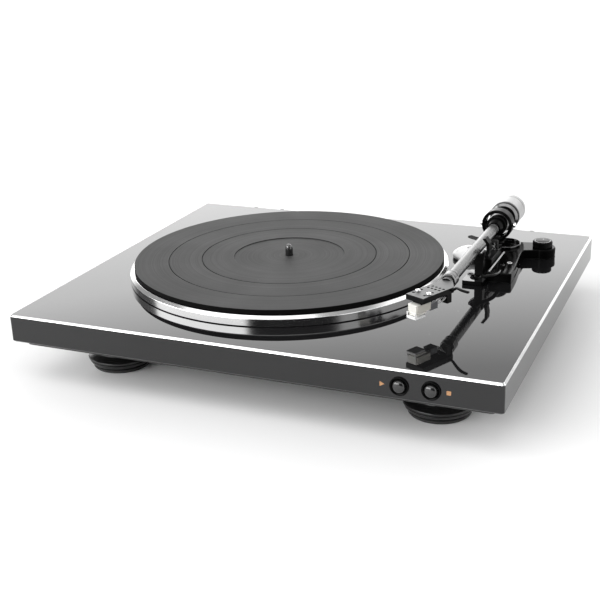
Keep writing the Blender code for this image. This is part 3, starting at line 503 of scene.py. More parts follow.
collarMetal = makeMaterial("collarMetal", (grey(0.17), grey(0.23)), (0.14, 0.24), 1.0, haze=35.0,
                           grain=2200.0, depth=0.03, ring=(armAxis, 1500.0, 0.03, "Y"))
shellMetal = makeMaterial("shellMetal", (grey(0.12), grey(0.18)), (0.36, 0.46), 0.6, haze=60.0, grain=2600.0,
                          depth=0.12)
# Near-black: the dark cartridge mount's own colour, and painted shade on the shell's sides, underside and
# the sheet below its plate.
shellBlackAndShade = makeMaterial("shellBlackAndShade", (grey(0.002), grey(0.004)), (0.3, 0.4), 0.0, haze=60.0, grain=2600.0,
                         depth=0.1, specular=0.12)
armGloss = makeMaterial("armGloss", (grey(0.002), grey(0.003)), (0.06, 0.12), haze=45.0, grain=600.0,
                        depth=0.01, dust=0.006, specular=0.05)
armPlastic = makeMaterial("armPlastic", (grey(0.002), grey(0.004)), (0.25, 0.38), haze=50.0, grain=1500.0,
                          depth=0.08, specular=0.05)
darkChrome = makeMaterial("darkChrome", (grey(0.08), grey(0.13)), (0.08, 0.16), 1.0, haze=50.0, grain=1500.0,
                          depth=0.01)
footTop = makeMaterial("footTop", (grey(0.008), grey(0.012)), (0.05, 0.10), haze=50.0, grain=1500.0,
                       depth=0.02, ior=1.9)
armRubber = makeMaterial("armRubber", (grey(0.012), grey(0.02)), (0.6, 0.75), haze=50.0, grain=1500.0,
                         depth=0.2)
greyPanel = makeMaterial("greyPanel", (grey(0.05), grey(0.08)), (0.3, 0.4), 0.3, haze=60.0, grain=1800.0,
                         depth=0.1)
weightMetal = makeMaterial("weightMetal", (grey(0.33), grey(0.39)), (0.28, 0.36), 0.45, haze=30.0,
                           grain=1800.0, depth=0.05, ring=(armAxis, 1800.0, 0.04, "Y"))
ivory = makeMaterial("ivory", ((0.80, 0.79, 0.75), (0.74, 0.73, 0.68)), (0.28, 0.38), haze=60.0,
                     grain=1500.0, depth=0.05)
# A darker copy of the ivory for one side of the cartridge: painted shade.
ivoryShade = makeMaterial("ivoryShade", ((0.60, 0.58, 0.53), (0.54, 0.52, 0.47)), (0.3, 0.4), haze=60.0,
                          grain=1500.0, depth=0.05)
greyPlastic = makeMaterial("greyPlastic", (grey(0.10, 0.08), grey(0.14, 0.08)), (0.35, 0.48), haze=60.0,
                           grain=1500.0, depth=0.06)
whitePlastic = makeMaterial("whitePlastic", (grey(0.82), grey(0.76)), (0.22, 0.34), haze=40.0, grain=1500.0,
                            depth=0.03, dust=0.03)
gearNylon = makeMaterial("gearNylon", ((0.74, 0.72, 0.66), (0.68, 0.66, 0.6)), (0.4, 0.5), haze=50.0,
                         depth=0.05)
beltRubber = makeMaterial("beltRubber", (grey(0.018), grey(0.03)), (0.65, 0.8), grain=1200.0, depth=0.25)
boardGreen = makeMaterial("boardGreen", ((0.03, 0.16, 0.07), (0.05, 0.22, 0.1)), (0.35, 0.45), haze=90.0,
                          grain=500.0, depth=0.1)
buttonMetal = makeMaterial("buttonMetal", (grey(0.06), grey(0.085)), (0.14, 0.22), 0.9, haze=80.0,
                           grain=1500.0, depth=0.02)
markPaint = makeMaterial("markPaint", ((0.42, 0.22, 0.10), (0.36, 0.19, 0.09)), (0.4, 0.5), haze=200.0,
                         depth=0.05)
goldPin = makeMaterial("goldPin", (grey(0.86), grey(0.78)), (0.15, 0.25), 1.0, haze=90.0, depth=0.02)
print("materials", len(bpy.data.materials))

# Plinth: a glossy shell with a bright bevelled edge, a cover below and four round feet.
plinthSettings = {"edgeRound": 0.22, "coverRound": 0.7, "bevelReach": 150.0, "bevelTilt": (0.3, 0.95)}
cabinet = refined("cabinet_shell", "cabinet", deckGloss, "base", plinthSettings["edgeRound"], 2)
cabinet.data.materials.append(edgeMetal)
tilt = faceValues(cabinet, "normal")[:, 2]
reach = np.abs(faceValues(cabinet, "center")[:, :2]).max(axis=1) / mm
lowTilt, highTilt = plinthSettings["bevelTilt"]
onBevel = (tilt > lowTilt) & (tilt < highTilt) & (reach > plinthSettings["bevelReach"])
cabinet.data.polygons.foreach_set("material_index", onBevel.astype(np.int32))
refined("cover_pan", "bottom_cover", casePlastic, "base", plinthSettings["coverRound"])

footSettings = {"lip": 30.0, "body": 29.2, "neck": 22.2, "sole": 24.6, "lipZ": (9.2, 11.2), "neckZ": 14.6}
padSettings = {"flat": 21.0, "groove": 22.5, "ring": 24.8, "wall": 26.0, "rise": 0.5}
body, lip, neck = footSettings["body"], footSettings["lip"], footSettings["neck"]
lipLow, lipHigh = footSettings["lipZ"]
flat, groove, padRing = padSettings["flat"], padSettings["groove"], padSettings["ring"]
for side in ("front_left", "front_right", "rear_left", "rear_right"):
    (_, _, low), (_, _, high) = extent("foot_" + side)
    centre = middle("foot_" + side) * (1, 1, 0)
    turnedPiece("foot_body_" + side, [
        (0, low), (footSettings["sole"], low, 0.6), (body - 0.9, low + 2.2, 2.0), (body, lipLow - 1.1, 0.4),
        (body - 1.3, lipLow - 0.7, 0.3), (body - 1.3, lipLow - 0.3, 0.2), (lip, lipLow, 0.4),
        (lip, lipHigh, 0.9), (neck + 1.5, lipHigh + 2.2, 1.2), (neck, footSettings["neckZ"], 0.8),
        (neck, high - 0.6, 0.3), (neck - 0.6, high, 0.1), (0, high)],
        centre, footGloss, "base", ["foot_" + side], steps=128)
    (_, _, low), (_, _, high) = extent("foot_pad_" + side)
    rise, wall = low + padSettings["rise"], padSettings["wall"]
    turnedPiece("foot_sole_" + side, [
        (0, low), (flat, low, 0.2), (flat, rise, 0.2), (groove, rise, 0.2), (groove, low, 0.2),
        (padRing, low, 0.6), (wall, low + 1.2, 0.6), (wall, high, 0.3), (0, high)],
        centre, footRubber, "base", ["foot_pad_" + side])
print("plinth done")

# Platter: a turned dish with a belt ring and a hub below, its grooved mat and the spindle.
platterSettings = {"bore": 3.8, "chamfer": 2.7, "chamferDrop": 2.4, "wall": 2.2, "web": 2.0,
                   "beltRing": 95.5, "beltWall": 3.0, "hub": 16.0, "hubWeb": 4.1}
platterLow, platterHigh = extent("platter")
platterCentre = (spindle[0], spindle[1], 0.0)
rim = (platterHigh[0] - platterLow[0]) / 2
top, bottom = platterHigh[2], platterLow[2]
inner, drop = rim - platterSettings["chamfer"], platterSettings["chamferDrop"]
bore, hub, beltOut = platterSettings["bore"], platterSettings["hub"], platterSettings["beltRing"]
beltIn, wallIn = beltOut - platterSettings["beltWall"], inner - platterSettings["wall"]
under, hubUnder = top - platterSettings["web"], top - platterSettings["hubWeb"]
turnedPiece("platter_disc", [
    (bore, top, 0.2), (inner, top, 0.3), (rim, top - drop, 0.3), (rim, bottom, 0.3), (wallIn, bottom, 0.3),
    (wallIn, under, 0.5), (beltOut, under, 0.4), (beltOut, bottom + 0.8, 0.2), (beltIn, bottom + 0.8, 0.2),
    (beltIn, under, 0.4), (hub, under, 0.3), (hub, hubUnder, 0.2), (bore, hubUnder, 0.2)],
    platterCentre, platterMetal, "platter_body", ["platter"], steps=320, fine=4, closed=True)

matSettings = {"label": 51.9, "step": 0.8, "grooves": (81.7, 112.7), "grooveWidth": 0.8, "grooveDepth": 0.8,
               "shadeSideTilt": 0.62}
matLow, matHigh = extent("platter_mat")
top, bottom = matHigh[2], matLow[2]
outer = (matHigh[0] - matLow[0]) / 2
label, step = matSettings["label"], matSettings["step"]
half, depth = matSettings["grooveWidth"] / 2, matSettings["grooveDepth"]
corners = [(bore, top - step, 0.1), (label - 0.5, top - step, 0.3), (label, top, 0.2)]
for radius in matSettings["grooves"]:
    corners += [(radius - half, top, 0.06), (radius - half * 0.5, top - depth, 0.06),
                (radius + half * 0.5, top - depth, 0.06), (radius + half, top, 0.06)]
corners += [(outer, top, 0.7), (outer, bottom, 0.3), (bore, bottom, 0.1)]
mat = turnedPiece("mat", corners, platterCentre, matRubber, "platter_body", ["platter_mat"],
                  steps=288, fine=4, closed=True)
# The mat's side and under faces take the darker copy: painted shade, the same rubber as its top.
paintSideShade(mat, matSideShade, matSettings["shadeSideTilt"])

low, high = extent("spindle")
radius, tip = (high[0] - low[0]) / 2, high[2]
turnedPiece("spindle_pin", [(0, low[2]), (radius, low[2], 0.4), (radius, tip - 4.6, 1.2),
                            (radius - 0.7, tip - 1.6, 1.2), (1.4, tip - 0.1, 0.8), (0, tip)],
            platterCentre, darkChrome, "platter_body", ["spindle"], steps=48, fine=8)
print("platter done")

# Buttons: a domed cap with a collar behind the panel and a gloss ring in front of it.
buttonSettings = {"cap": 5.2, "stem": 2.0, "collar": 6.5, "gap": 0.3, "sleeve": 6.3}
radius, stem, collar = buttonSettings["cap"], buttonSettings["stem"], buttonSettings["collar"]
bore, sleeve = radius + buttonSettings["gap"], buttonSettings["sleeve"]
for name in ("start", "stop"):
    centre = middle(name + "_button") * (1, 0, 1)
    low, high = extent(name + "_button")
    tip, back = low[1], high[1]
    turnedPiece(name + "_cap", [
        (0, tip), (3.1, tip + 0.35, 1.6), (4.7, tip + 1.5, 1.2), (radius, tip + 3.0, 0.8),
        (radius, tip + 9.0, 0.1), (collar, tip + 9.6, 0.2), (collar, tip + 10.8, 0.2),
        (stem, tip + 11.0, 0.2), (stem, back, 0.3), (0, back)],
        centre, buttonMetal, name + "_button_body", [name + "_button"], "Y", 64, 6)
    low, high = extent(name + "_bezel")
    face, back, outer = low[1], high[1], (high[0] - low[0]) / 2
    turnedPiece(name + "_ring", [(bore, back, 0.1), (sleeve, back, 0.1), (sleeve, face + 1.05),
                                 (outer, face + 1.1, 0.15), (outer, face + 0.25, 0.3),
                                 (outer - 0.6, face, 0.3), (6.5, face + 0.25, 0.3),
                                 (bore, face + 0.9, 0.2)], centre, armGloss, "base", [name + "_bezel"],
                "Y", 72, 4, closed=True)

# Generic marks beside the buttons: a triangle for start and a square for stop.
markSettings = {"size": 2.0, "gap": 13.5, "thick": 0.12, "sunk": 0.01, "square": 0.85, "round": 0.2}
size, gap, thick = markSettings["size"], markSettings["gap"], markSettings["thick"]
face = extent("cabinet")[0][1]
x, z = middle("start_button")[0] - gap, middle("start_button")[2]
triangle = np.array([(x - size, z - size), (x + size, z), (x - size, z + size)])
side = size * markSettings["square"]
x = middle("stop_button")[0] + gap
square = roundedBox(x - side, z - side, x + side, z + side, markSettings["round"])
for name, outline in (("start_mark", triangle), ("stop_mark", square)):
    mark = prism(outline, face - thick, face - markSettings["sunk"], axis="Y")
    addPiece(name, [mark], markPaint, "base")

# Rear: the lid's two hinge sockets, and a stepped boot for each cord.
rearSettings = {"socketRound": 0.5, "bootBore": 2.4, "bootNeck": 4.0, "bootEnd": 4.9}
for name in ("hinge_socket_left", "hinge_socket_right"):
    refined(name + "_shell", name, casePlastic, "base", rearSettings["socketRound"])
bore, neck = rearSettings["bootBore"], rearSettings["bootNeck"]
for name in ("power_gland", "signal_gland"):
    low, high = extent(name)
    front, back, outer = low[1], high[1], (high[0] - low[0]) / 2
    turnedPiece(name + "_boot", [
        (bore, front, 0.1), (neck, front, 0.1), (neck, front + 5.2), (outer, front + 5.3, 0.3),
        (outer - 0.4, front + 7.0, 0.5), (rearSettings["bootEnd"], back, 0.4), (bore, back, 0.5)],
        middle(name) * (1, 0, 1), casePlastic, "base", [name], "Y", 48, 4, closed=True)
print("buttons and rear done")

# Tonearm base: one outline of a front slab, a pod round the knob and a disc round the arm.
baseSettings = {"round": 17.5, "pod": 12.2, "frontX": (151.0, 172.8), "corner": 2.2,
                "centreShift": (2.5, -0.6), "right": [(172.6, 24.5), (171.2, 50.0), (168.0, 82.0),
                                                      (168.9, 92.0)], "armHole": 6.5,
                "podArc": (-98, 104), "discStart": 54, "screwAt": (164.2, 52.0, 0)}
low, high = extent("arm_base")
knobCentre, ringCentre = middle("anti_skate_knob"), middle("arm_base_ring")
baseCentre = ringCentre[:2] + np.array(baseSettings["centreShift"])
leftX, rightX = baseSettings["frontX"]
corner, hole = baseSettings["corner"], baseSettings["armHole"]
reachAngle = math.degrees(math.acos((leftX - baseCentre[0]) / baseSettings["round"]))
outline = np.concatenate([
    arc((leftX + corner, low[1] + corner), corner, 180, 265, 5),
    arc((rightX - 2.4, low[1] + 3.2), corner, -85, 0, 5),
    smoothPath(baseSettings["right"], 16),
    arc(knobCentre, baseSettings["pod"], *baseSettings["podArc"], 40),
    arc(baseCentre, baseSettings["round"], baseSettings["discStart"], 360 - reachAngle, 64)])
base = addPiece("arm_plate", [prism(outline, low[2], high[2], 0.3, 1.1)], armGloss, "base", ["arm_base"])
carve(base, [turned([(0, 50), (hole, 50), (hole, 90), (0, 90)], pivot * (1, 1, 0), steps=64)])

top = high[2]
# A white strip along the plate's left edge: a painted highlight for the light that edge catches.
highlightStrip = roundedBox(leftX + 0.5, low[1] + 3.0, leftX + 2.0, low[1] + 61.0, 0.5)
addPiece("plate_edge_highlight", [prism(highlightStrip, top - 0.1, top + 0.25, 0.0, 0.15)], whitePlastic, "base")
turnedPiece("plate_screw", [
    (0, top - 0.2), (2.4, top - 0.2), (2.4, top + 0.35, 0.25), (1.9, top + 0.5, 0.2), (1.7, top + 0.2, 0.1),
    (0, top + 0.2)], baseSettings["screwAt"], chrome, "base", steps=64, fine=4)

(_, _, low), (_, _, high) = extent("arm_base_ring")
turnedPiece("arm_ring", [
    (13.7, low, 0.1), (15.1, low, 0.1), (15.1, low + 1.7, 0.5), (14.4, high, 0.4), (13.7, low + 1.7, 0.3)],
    ringCentre * (1, 1, 0), darkChrome, "base", ["arm_base_ring"], steps=128, closed=True)

# Lift housing: a block with a well for the rod, a collar round the well and ribs on its left.
liftSettings = {"rodX": 4.2, "rodY": 7.0, "well": 2.4, "collar": 3.5, "wellZ": 3.5, "wellTop": 99}
ribSettings = {"count": 9, "pitch": 2.3, "first": 4.0, "width": 1.1, "depth": 0.5, "rise": (3.0, 11.8)}
low, high = extent("lift_housing")
block = prism(roundedBox(*low[:2], *high[:2], 1.6), low[2], high[2], 0.2, 0.8)
housing = addPiece("lift_block", [block], armPlastic, "base", ["lift_housing"])
rodXy = (low[0] + liftSettings["rodX"], high[1] - liftSettings["rodY"])
well, wellZ, wellTop = liftSettings["well"], low[2] + liftSettings["wellZ"], liftSettings["wellTop"]
carve(housing, [turned([(0, wellZ), (well, wellZ), (well, wellTop), (0, wellTop)], (*rodXy, 0), steps=48)])
ribs = []
ribLow, ribHigh = (low[2] + rise for rise in ribSettings["rise"])
for index in range(ribSettings["count"]):
    y = low[1] + ribSettings["first"] + index * ribSettings["pitch"]
    rib = roundedBox(y, ribLow, y + ribSettings["width"], ribHigh, 0.4)
    ribs.append(prism(rib, low[0] - ribSettings["depth"], low[0] + 0.1, 0.2, 0.0, "X", 2))
addPiece("lift_ribs", ribs, greyPanel, "base")
top, collar = high[2], liftSettings["collar"]
turnedPiece("lift_collar", [
    (well, top - 0.5), (collar, top - 0.5), (collar, top + 0.5, 0.3), (well, top + 0.5, 0.2)],
    (*rodXy, 0), darkChrome, "base", steps=48, fine=4, closed=True)

# Arm rest: satin, apart from the glossy flat top of its low foot.
restSettings = {"round": 0.25, "footRise": 5.0, "flatTilt": 0.9}
rest = refined("rest_post", "arm_rest", armPlastic, "base", restSettings["round"])
rest.data.materials.append(footTop)
footHeight = (deckZ + restSettings["footRise"]) * mm
isFlat = faceValues(rest, "normal")[:, 2] > restSettings["flatTilt"]
onFoot = isFlat & (faceValues(rest, "center")[:, 2] < footHeight)
rest.data.polygons.foreach_set("material_index", onFoot.astype(np.int32))
print("arm base done")

# Anti-skate knob: a short drum with a knurled wall, a ring set in its top and a pointer.
knobSettings = {"knurls": 48, "knurlDepth": 0.22, "wallRadius": 8.9, "wallZ": (73.2, 77.6),
                "pointer": (1.5, 5.4), "pointerHalf": 0.35}
(_, _, low), (_, _, high) = extent("anti_skate_knob")
radius = middle("anti_skate_knob")[0] - extent("anti_skate_knob")[0][0]
profile = softProfile([
    (0, low), (radius, low, 0.3), (radius, high - 0.9, 0.2), (radius - 0.8, high, 0.4),
    (radius - 1.3, high, 0.1), (radius - 1.5, high - 0.35, 0.1), (radius - 2.6, high - 0.35, 0.1),
    (radius - 2.8, high, 0.1), (0, high)], 4)


def knurl(radius, height, angle):
    # Radius less depth times a raised cosine of the angle, on the outer wall only.
    wallLow, wallHigh = knobSettings["wallZ"]
    wall = (radius > knobSettings["wallRadius"]) & (height > wallLow) & (height < wallHigh)
    wave = 0.5 + 0.5 * np.cos(knobSettings["knurls"] * angle)
    return radius - knobSettings["knurlDepth"] * wall * wave, height


wallRows = [(radius, z) for z in np.linspace(low + 0.6, high - 1.2, 5)]
profile = np.concatenate([profile[:7], wallRows, profile[7:]])
addPiece("knob", [turned(profile, knobCentre * (1, 1, 0), steps=288, bend=knurl)], armGloss,
         "anti_skate_body", ["anti_skate_knob"])
turnedPiece("knob_ring", [
    (radius - 2.5, high - 0.4), (radius - 2.5, high - 0.05, 0.1), (radius - 1.6, high - 0.05, 0.1),
    (radius - 1.6, high - 0.4)], knobCentre * (1, 1, 0), darkChrome, "anti_skate_body",
    steps=128, fine=3, closed=True)
x, y, _ = knobCentre
near, far = knobSettings["pointer"]
half = knobSettings["pointerHalf"]
pointer = roundedBox(x - half, y + near, x + half, y + far, 0.3)
addPiece("knob_pointer", [prism(pointer, high - 0.2, high + 0.1)], darkChrome, "anti_skate_body")

# Lift bar: a rounded rib along an arc about the arm's pivot, its top notched crosswise.
barSettings = {"endAngle": -131.0, "startPast": 4, "half": 2.4, "thick": 2.2, "round": 0.7, "notch": 0.35,
               "notches": 17, "endRound": 1.6, "rows": 240, "rod": 2.0}
low, high = extent("lift_bar")
rodAt = np.array(rodXy)
barRadius = float(np.hypot(*(rodAt - pivot[:2])))
startAngle = math.degrees(math.atan2(rodAt[1] - 2 - pivot[1], rodAt[0] - pivot[0]))
startAngle += barSettings["startPast"]
angles = np.radians(np.linspace(startAngle, barSettings["endAngle"], barSettings["rows"]))
half, thin = barSettings["half"], barSettings["thick"] / 2
section = roundedBox(-half, -thin, half, thin, barSettings["round"])
turns = (angles - angles[0]) / (angles[-1] - angles[0]) * barSettings["notches"]
wave = np.clip(np.cos(turns * 2 * math.pi) * 3, -1, 1)
barRings = []
for angle, share in zip(angles, wave):
    sink = barSettings["notch"] * (0.5 - 0.5 * share)
    ends = min(abs(angle - angles[0]), abs(angle - angles[-1])) * barRadius
    scale = math.sqrt(max(0.02, 1 - max(0.0, 1 - ends / barSettings["endRound"]) ** 2))
    away = barRadius + section[:, 0] * scale
    up = high[2] - thin + section[:, 1] * scale - sink * (section[:, 1] > 0)
    x, y = pivot[0] + away * math.cos(angle), pivot[1] + away * math.sin(angle)
    barRings.append(np.stack([x, y, up], axis=1))
addPiece("lift_arc", [loft(barRings)], armRubber, "lift_bar_body", ["lift_bar"])
rod, rodTop = barSettings["rod"], high[2] - 1.0
turnedPiece("lift_rod", [(0, low[2]), (rod, low[2], 0.3), (rod, rodTop, 0.1), (0, rodTop)], (*rodXy, 0),
            darkChrome, "lift_bar_body", steps=32)

# Lift lever: a boss on its pin, a bent arm that flattens forwards and a round finger pad.
leverSettings = {"pin": (0.0, 44.0, 69.0), "boss": 4.0, "tip": (-10.4, -48.0)}
leverPin, boss = leverSettings["pin"], leverSettings["boss"]
leverX, leverZ = extent("lift_lever")[0][0], leverPin[2]
tip = (leverX + leverSettings["tip"][0], leverPin[1] + leverSettings["tip"][1])
hub = turned(softProfile([
    (0, leverX), (boss, leverX, 0.3), (boss, leverX + 3.6, 0.7), (2.6, leverX + 3.7, 0.2),
    (2.4, leverX + 3.2, 0.2), (0, leverX + 3.2)]), leverPin, "X", 64)
route = [(leverX + 1.8, 42.0, leverZ + 0.5), (leverX + 3.4, 24.0, leverZ + 2.4),
         (leverX + 1.6, 11.0, leverZ + 4.4), (leverX - 4.4, 2.0, leverZ + 6.0), (*tip, leverZ + 6.6)]
arm = tube(route, (1.8, 1.8, 1.9, 2.6, 3.0), (1.8, 1.7, 1.6, 1.3, 1.1), 72, 24)
pad = turned(softProfile([
    (0, leverZ + 5.4), (4.2, leverZ + 5.4, 0.5), (5.0, leverZ + 6.6, 0.8), (4.3, leverZ + 7.8, 0.5),
    (0, leverZ + 7.4)], 6), (*tip, 0), steps=64)
addPiece("lever_arm", [hub, arm, pad], armGloss, "lever_body", ["lift_lever"])
turnedPiece("lever_cap", [
    (2.6, leverX + 3.5), (3.4, leverX + 3.5), (3.4, leverX + 3.8, 0.15), (2.6, leverX + 3.8, 0.15)],
    leverPin, chrome, "lever_body", (), "X", 64, 3, closed=True)
refined("clip_hook", "arm_clip", armPlastic, "clip_body", 0.3)

# Adapter: a low dome with three narrow slots round its flat middle.
adapterSettings = {"slots": 3, "turn": 0.5, "slotHalf": 0.9, "slotSoft": 0.35, "slotReach": (7.0, 14.2),
                   "slotDepth": 1.2, "slotZ": 5.5}
(_, _, adapterLow), (outerX, _, _) = extent("adapter_45")
centre = middle("adapter_45") * (1, 1, 0)
radius, low = outerX - centre[0], adapterLow
profile = softProfile([
    (0, low), (radius - 1.8, low, 0.3), (radius, low + 1.4, 1.0), (radius, low + 4.0, 1.2),
    (14.8, low + 6.6, 2.0), (11.2, low + 8.6, 2.0), (6.2, low + 9.4, 1.5), (4.2, low + 9.55, 0.3),
    (3.9, low + 8.6, 0.2), (0, low + 8.6)], 6)


def adapterSlots(radius, height, angle):
    # Three narrow slots sunk into the dome, each a smooth step in angle and in radius.
    share = 2 * math.pi / adapterSettings["slots"]
    turn = (angle - adapterSettings["turn"]) % share - share / 2
    near, far = adapterSettings["slotReach"]
    off = adapterSettings["slotHalf"] - np.abs(turn) * np.maximum(radius, 4.0)
    across = np.clip(off / adapterSettings["slotSoft"], 0, 1)
    along = np.clip((radius - near) / 0.5, 0, 1) * np.clip((far - radius) / 0.5, 0, 1)
    onDome = height > adapterLow + adapterSettings["slotZ"]
    return radius, height - adapterSettings["slotDepth"] * across * along * onDome


dome = turned(densified(profile, 160), centre, steps=384, bend=adapterSlots)
addPiece("adapter_dome", [dome], whitePlastic, "adapter_body", ["adapter_45"])
print("controls done")

# Yoke: a ring round the bearing on a stem, with a recessed pivot screw at each side.
yokeSettings = {"inner": 11.6, "outer": 14.6, "halfDeep": 5.5}
low = extent("arm_yoke")[0][2]
front, back = pivot[1] - yokeSettings["halfDeep"], pivot[1] + yokeSettings["halfDeep"]
inner, outer = yokeSettings["inner"], yokeSettings["outer"]
section = softProfile([(inner, front, 0.5), (outer, front, 0.8), (outer, back, 0.8), (inner, back, 0.5)],
                      6, True)
ring = turned(section, armAxis, "Y", 160, closed=True)
stem = turned(softProfile([
    (0, low), (6.1, low, 0.2), (6.3, low + 0.8, 0.4), (5.4, armZ - 16.0, 0.8), (6.3, armZ - 13.4, 0.6),
    (0, armZ - 13.0)]), pivot * (1, 1, 0), steps=64)
addPiece("yoke_ring", [ring, stem], armGloss, "arm_swing_body", ["arm_yoke"])
for side, sign in (("left", -1), ("right", 1)):
    low, high = extent("pivot_screw_" + side)
    inside, outside = (high[0], low[0]) if sign < 0 else (low[0], high[0])
    floorX = outside - sign * 0.7
    turnedPiece("pitch_screw_" + side, [(0, inside), (2.3, inside, 0.1), (2.3, outside - sign * 0.4, 0.1),
                                        (1.9, outside, 0.2), (0.9, outside), (0.9, floorX), (0, floorX)],
                (0, pivot[1], armZ), chrome, "arm_swing_body", ["pivot_screw_" + side], "X", 48, 4)


def armPart(name, corners, material, body, nodes=(), steps=96, fine=5, **more):
    # A profile of (radius, y) turned about the tonearm's own axis.
    return turnedPiece(name, corners, armAxis, material, body, nodes, "Y", steps, fine, **more)


# Bearing block: a cone in front, a core inside the yoke and a neck behind.
low, high = extent("bearing_block")
front, rear = low[1], high[1]
armPart("bearing_cone", [
    (0, front), (5.9, front, 0.4), (6.3, front + 1.2, 0.3), (7.7, front + 5.6, 1.0), (7.8, front + 8.4, 0.2),
    (7.4, front + 8.6, 0.1), (0, front + 8.6)], armGloss, "arm_body", ["bearing_block"])
armPart("bearing_core", [
    (0, front + 8.7), (8.8, front + 8.7, 0.3), (9.6, front + 9.6, 0.4), (9.6, rear - 6.2, 0.4),
    (8.6, rear - 5.2, 0.3), (0, rear - 5.2)], armGloss, "arm_body")
armPart("bearing_neck", [
    (0, rear - 5.1), (7.5, rear - 5.1, 0.3), (7.5, rear - 0.6, 0.3), (6.9, rear, 0.3), (0, rear)],
    armGloss, "arm_body")


def armExtent(node):
    # A part's radius about the tonearm's axis and its two ends along it.
    low, high = extent(node)
    return (high[2] - low[2]) / 2, low[1], high[1]


radius, y0, y1 = armExtent("arm_tube")
armPart("tube", [(0, y0), (radius - 0.3, y0, 0.2), (radius, y0 + 0.8, 0.3), (radius, y1 - 4.6, 0.1),
                 (radius - 0.25, y1 - 4.4, 0.1), (radius - 0.25, y1 - 3.9, 0.1), (radius, y1 - 3.7, 0.1),
                 (radius, y1, 0.2), (0, y1)], armMetal, "arm_body", ["arm_tube"], fine=4)
radius, y0, y1 = armExtent("rear_shaft")
armPart("shaft", [
    (0, y0), (radius, y0, 0.1), (radius, y1 - 0.8, 0.2), (radius - 0.7, y1, 0.2), (0, y1)],
    chrome, "arm_body", ["rear_shaft"], 64)
weightBore = 4.3
radius, y0, y1 = armExtent("counterweight")
armPart("weight_drum", [
    (0, y1 - 8), (weightBore, y1 - 8, 0.1), (weightBore, y0, 0.2), (radius - 0.6, y0, 0.3),
    (radius, y0 + 0.8, 0.4), (radius, y1 - 9.0, 0.1), (radius - 0.5, y1 - 8.7, 0.1),
    (radius - 0.5, y1 - 7.9, 0.1), (radius, y1 - 7.6, 0.1), (radius, y1 - 2.4, 0.6),
    (radius - 1.0, y1 - 0.6, 0.6), (radius - 2.6, y1, 0.5), (radius - 4.4, y1, 0.3),
    (radius - 4.8, y1 - 0.5, 0.2), (0, y1 - 0.5)], weightMetal, "weight_body", ["counterweight"], 128)

# Force dial: a ring with a sloping front that carries a bright band and its scale's ticks.
dialSettings = {"slope": 3.2, "grips": 60, "gripDepth": 0.25, "gripFrom": 4.0}
tickSettings = {"count": 40, "each": 5, "long": 1.5, "short": 0.9, "half": 0.14, "lift": 0.2, "sunk": -0.1,
                "start": 0.5, "edge": 0.35}
radius, y0, y1 = armExtent("force_dial")
slopeEnd = y0 + dialSettings["slope"]


def dialGrip(radiusGrid, height, angle):
    # Fine grooves on the rim behind the scale.
    wall = (radiusGrid > radius - 0.3) & (height > y0 + dialSettings["gripFrom"])
    grip = np.cos(dialSettings["grips"] * angle) > 0.2
    return radiusGrid - dialSettings["gripDepth"] * wall * grip, height


armPart("dial_ring", [(weightBore, y1, 0.1), (weightBore, y0 + 0.4, 0.2), (radius - 3.4, y0, 0.4),
                      (radius - 0.2, slopeEnd, 0.5), (radius - 0.2, y1, 0.2)], armPlastic, "dial_body",
        ["force_dial"], 240, closed=True, bend=dialGrip)
outward = 0.12  # how far the band stands off the slope
armPart("dial_band", [
    (radius - 3.0 + outward, y0 + 0.35 - outward, 0.1), (radius - 0.75 + outward, y0 + 2.6 - outward, 0.1),
    (radius - 0.9 + outward, y0 + 2.75 - outward), (radius - 3.15 + outward, y0 + 0.5 - outward)],
    collarMetal, "dial_body", fine=3, closed=True)
ticks = []
slant = math.sqrt(0.5)
lift, sunk = tickSettings["lift"], tickSettings["sunk"]
brick = [(0, 2, 3, 1), (2, 4, 5, 3), (4, 6, 7, 5), (6, 0, 1, 7), (0, 6, 4, 2), (1, 3, 5, 7)]
for index in range(tickSettings["count"]):
    near = tickSettings["start"]
    far = near + (tickSettings["long"] if index % tickSettings["each"] == 0 else tickSettings["short"])
    angle = 2 * math.pi * index / tickSettings["count"]
    points = []
    for along, above in ((near, sunk), (far, sunk), (far, lift), (near, lift)):
        r = radius - 0.2 - tickSettings["edge"] - along * slant + above * slant
        y = slopeEnd - tickSettings["edge"] - along * slant - above * slant
        for half in (-tickSettings["half"], tickSettings["half"]):
            points.append((armAxis[0] + r * math.cos(angle) - half * math.sin(angle), y,
                           armZ + r * math.sin(angle) + half * math.cos(angle)))
    ticks.append((np.array(points), brick))
addPiece("dial_ticks", ticks, armPlastic, "dial_body")

# Locking collar: a ring with a round groove near each end.
collarSettings = {"bore": 5.5, "groove": 0.45}
radius, y0, y1 = armExtent("locking_collar")
bore, deep = collarSettings["bore"], radius - collarSettings["groove"]
corners = [(bore, y0, 0.1), (radius - 0.5, y0, 0.2), (radius, y0 + 0.9, 0.3)]
for start in (y0 + 2.4, y1 - 3.5):
    corners += [(radius, start, 0.1), (deep, start + 0.3, 0.1), (deep, start + 0.8, 0.1),
                (radius, start + 1.1, 0.1)]
corners += [(radius, y1 - 0.9, 0.3), (radius - 0.5, y1, 0.2), (bore, y1, 0.1)]
armPart("collar", corners, collarMetal, "collar_body", ["locking_collar"], fine=4, closed=True)
print("tonearm done")

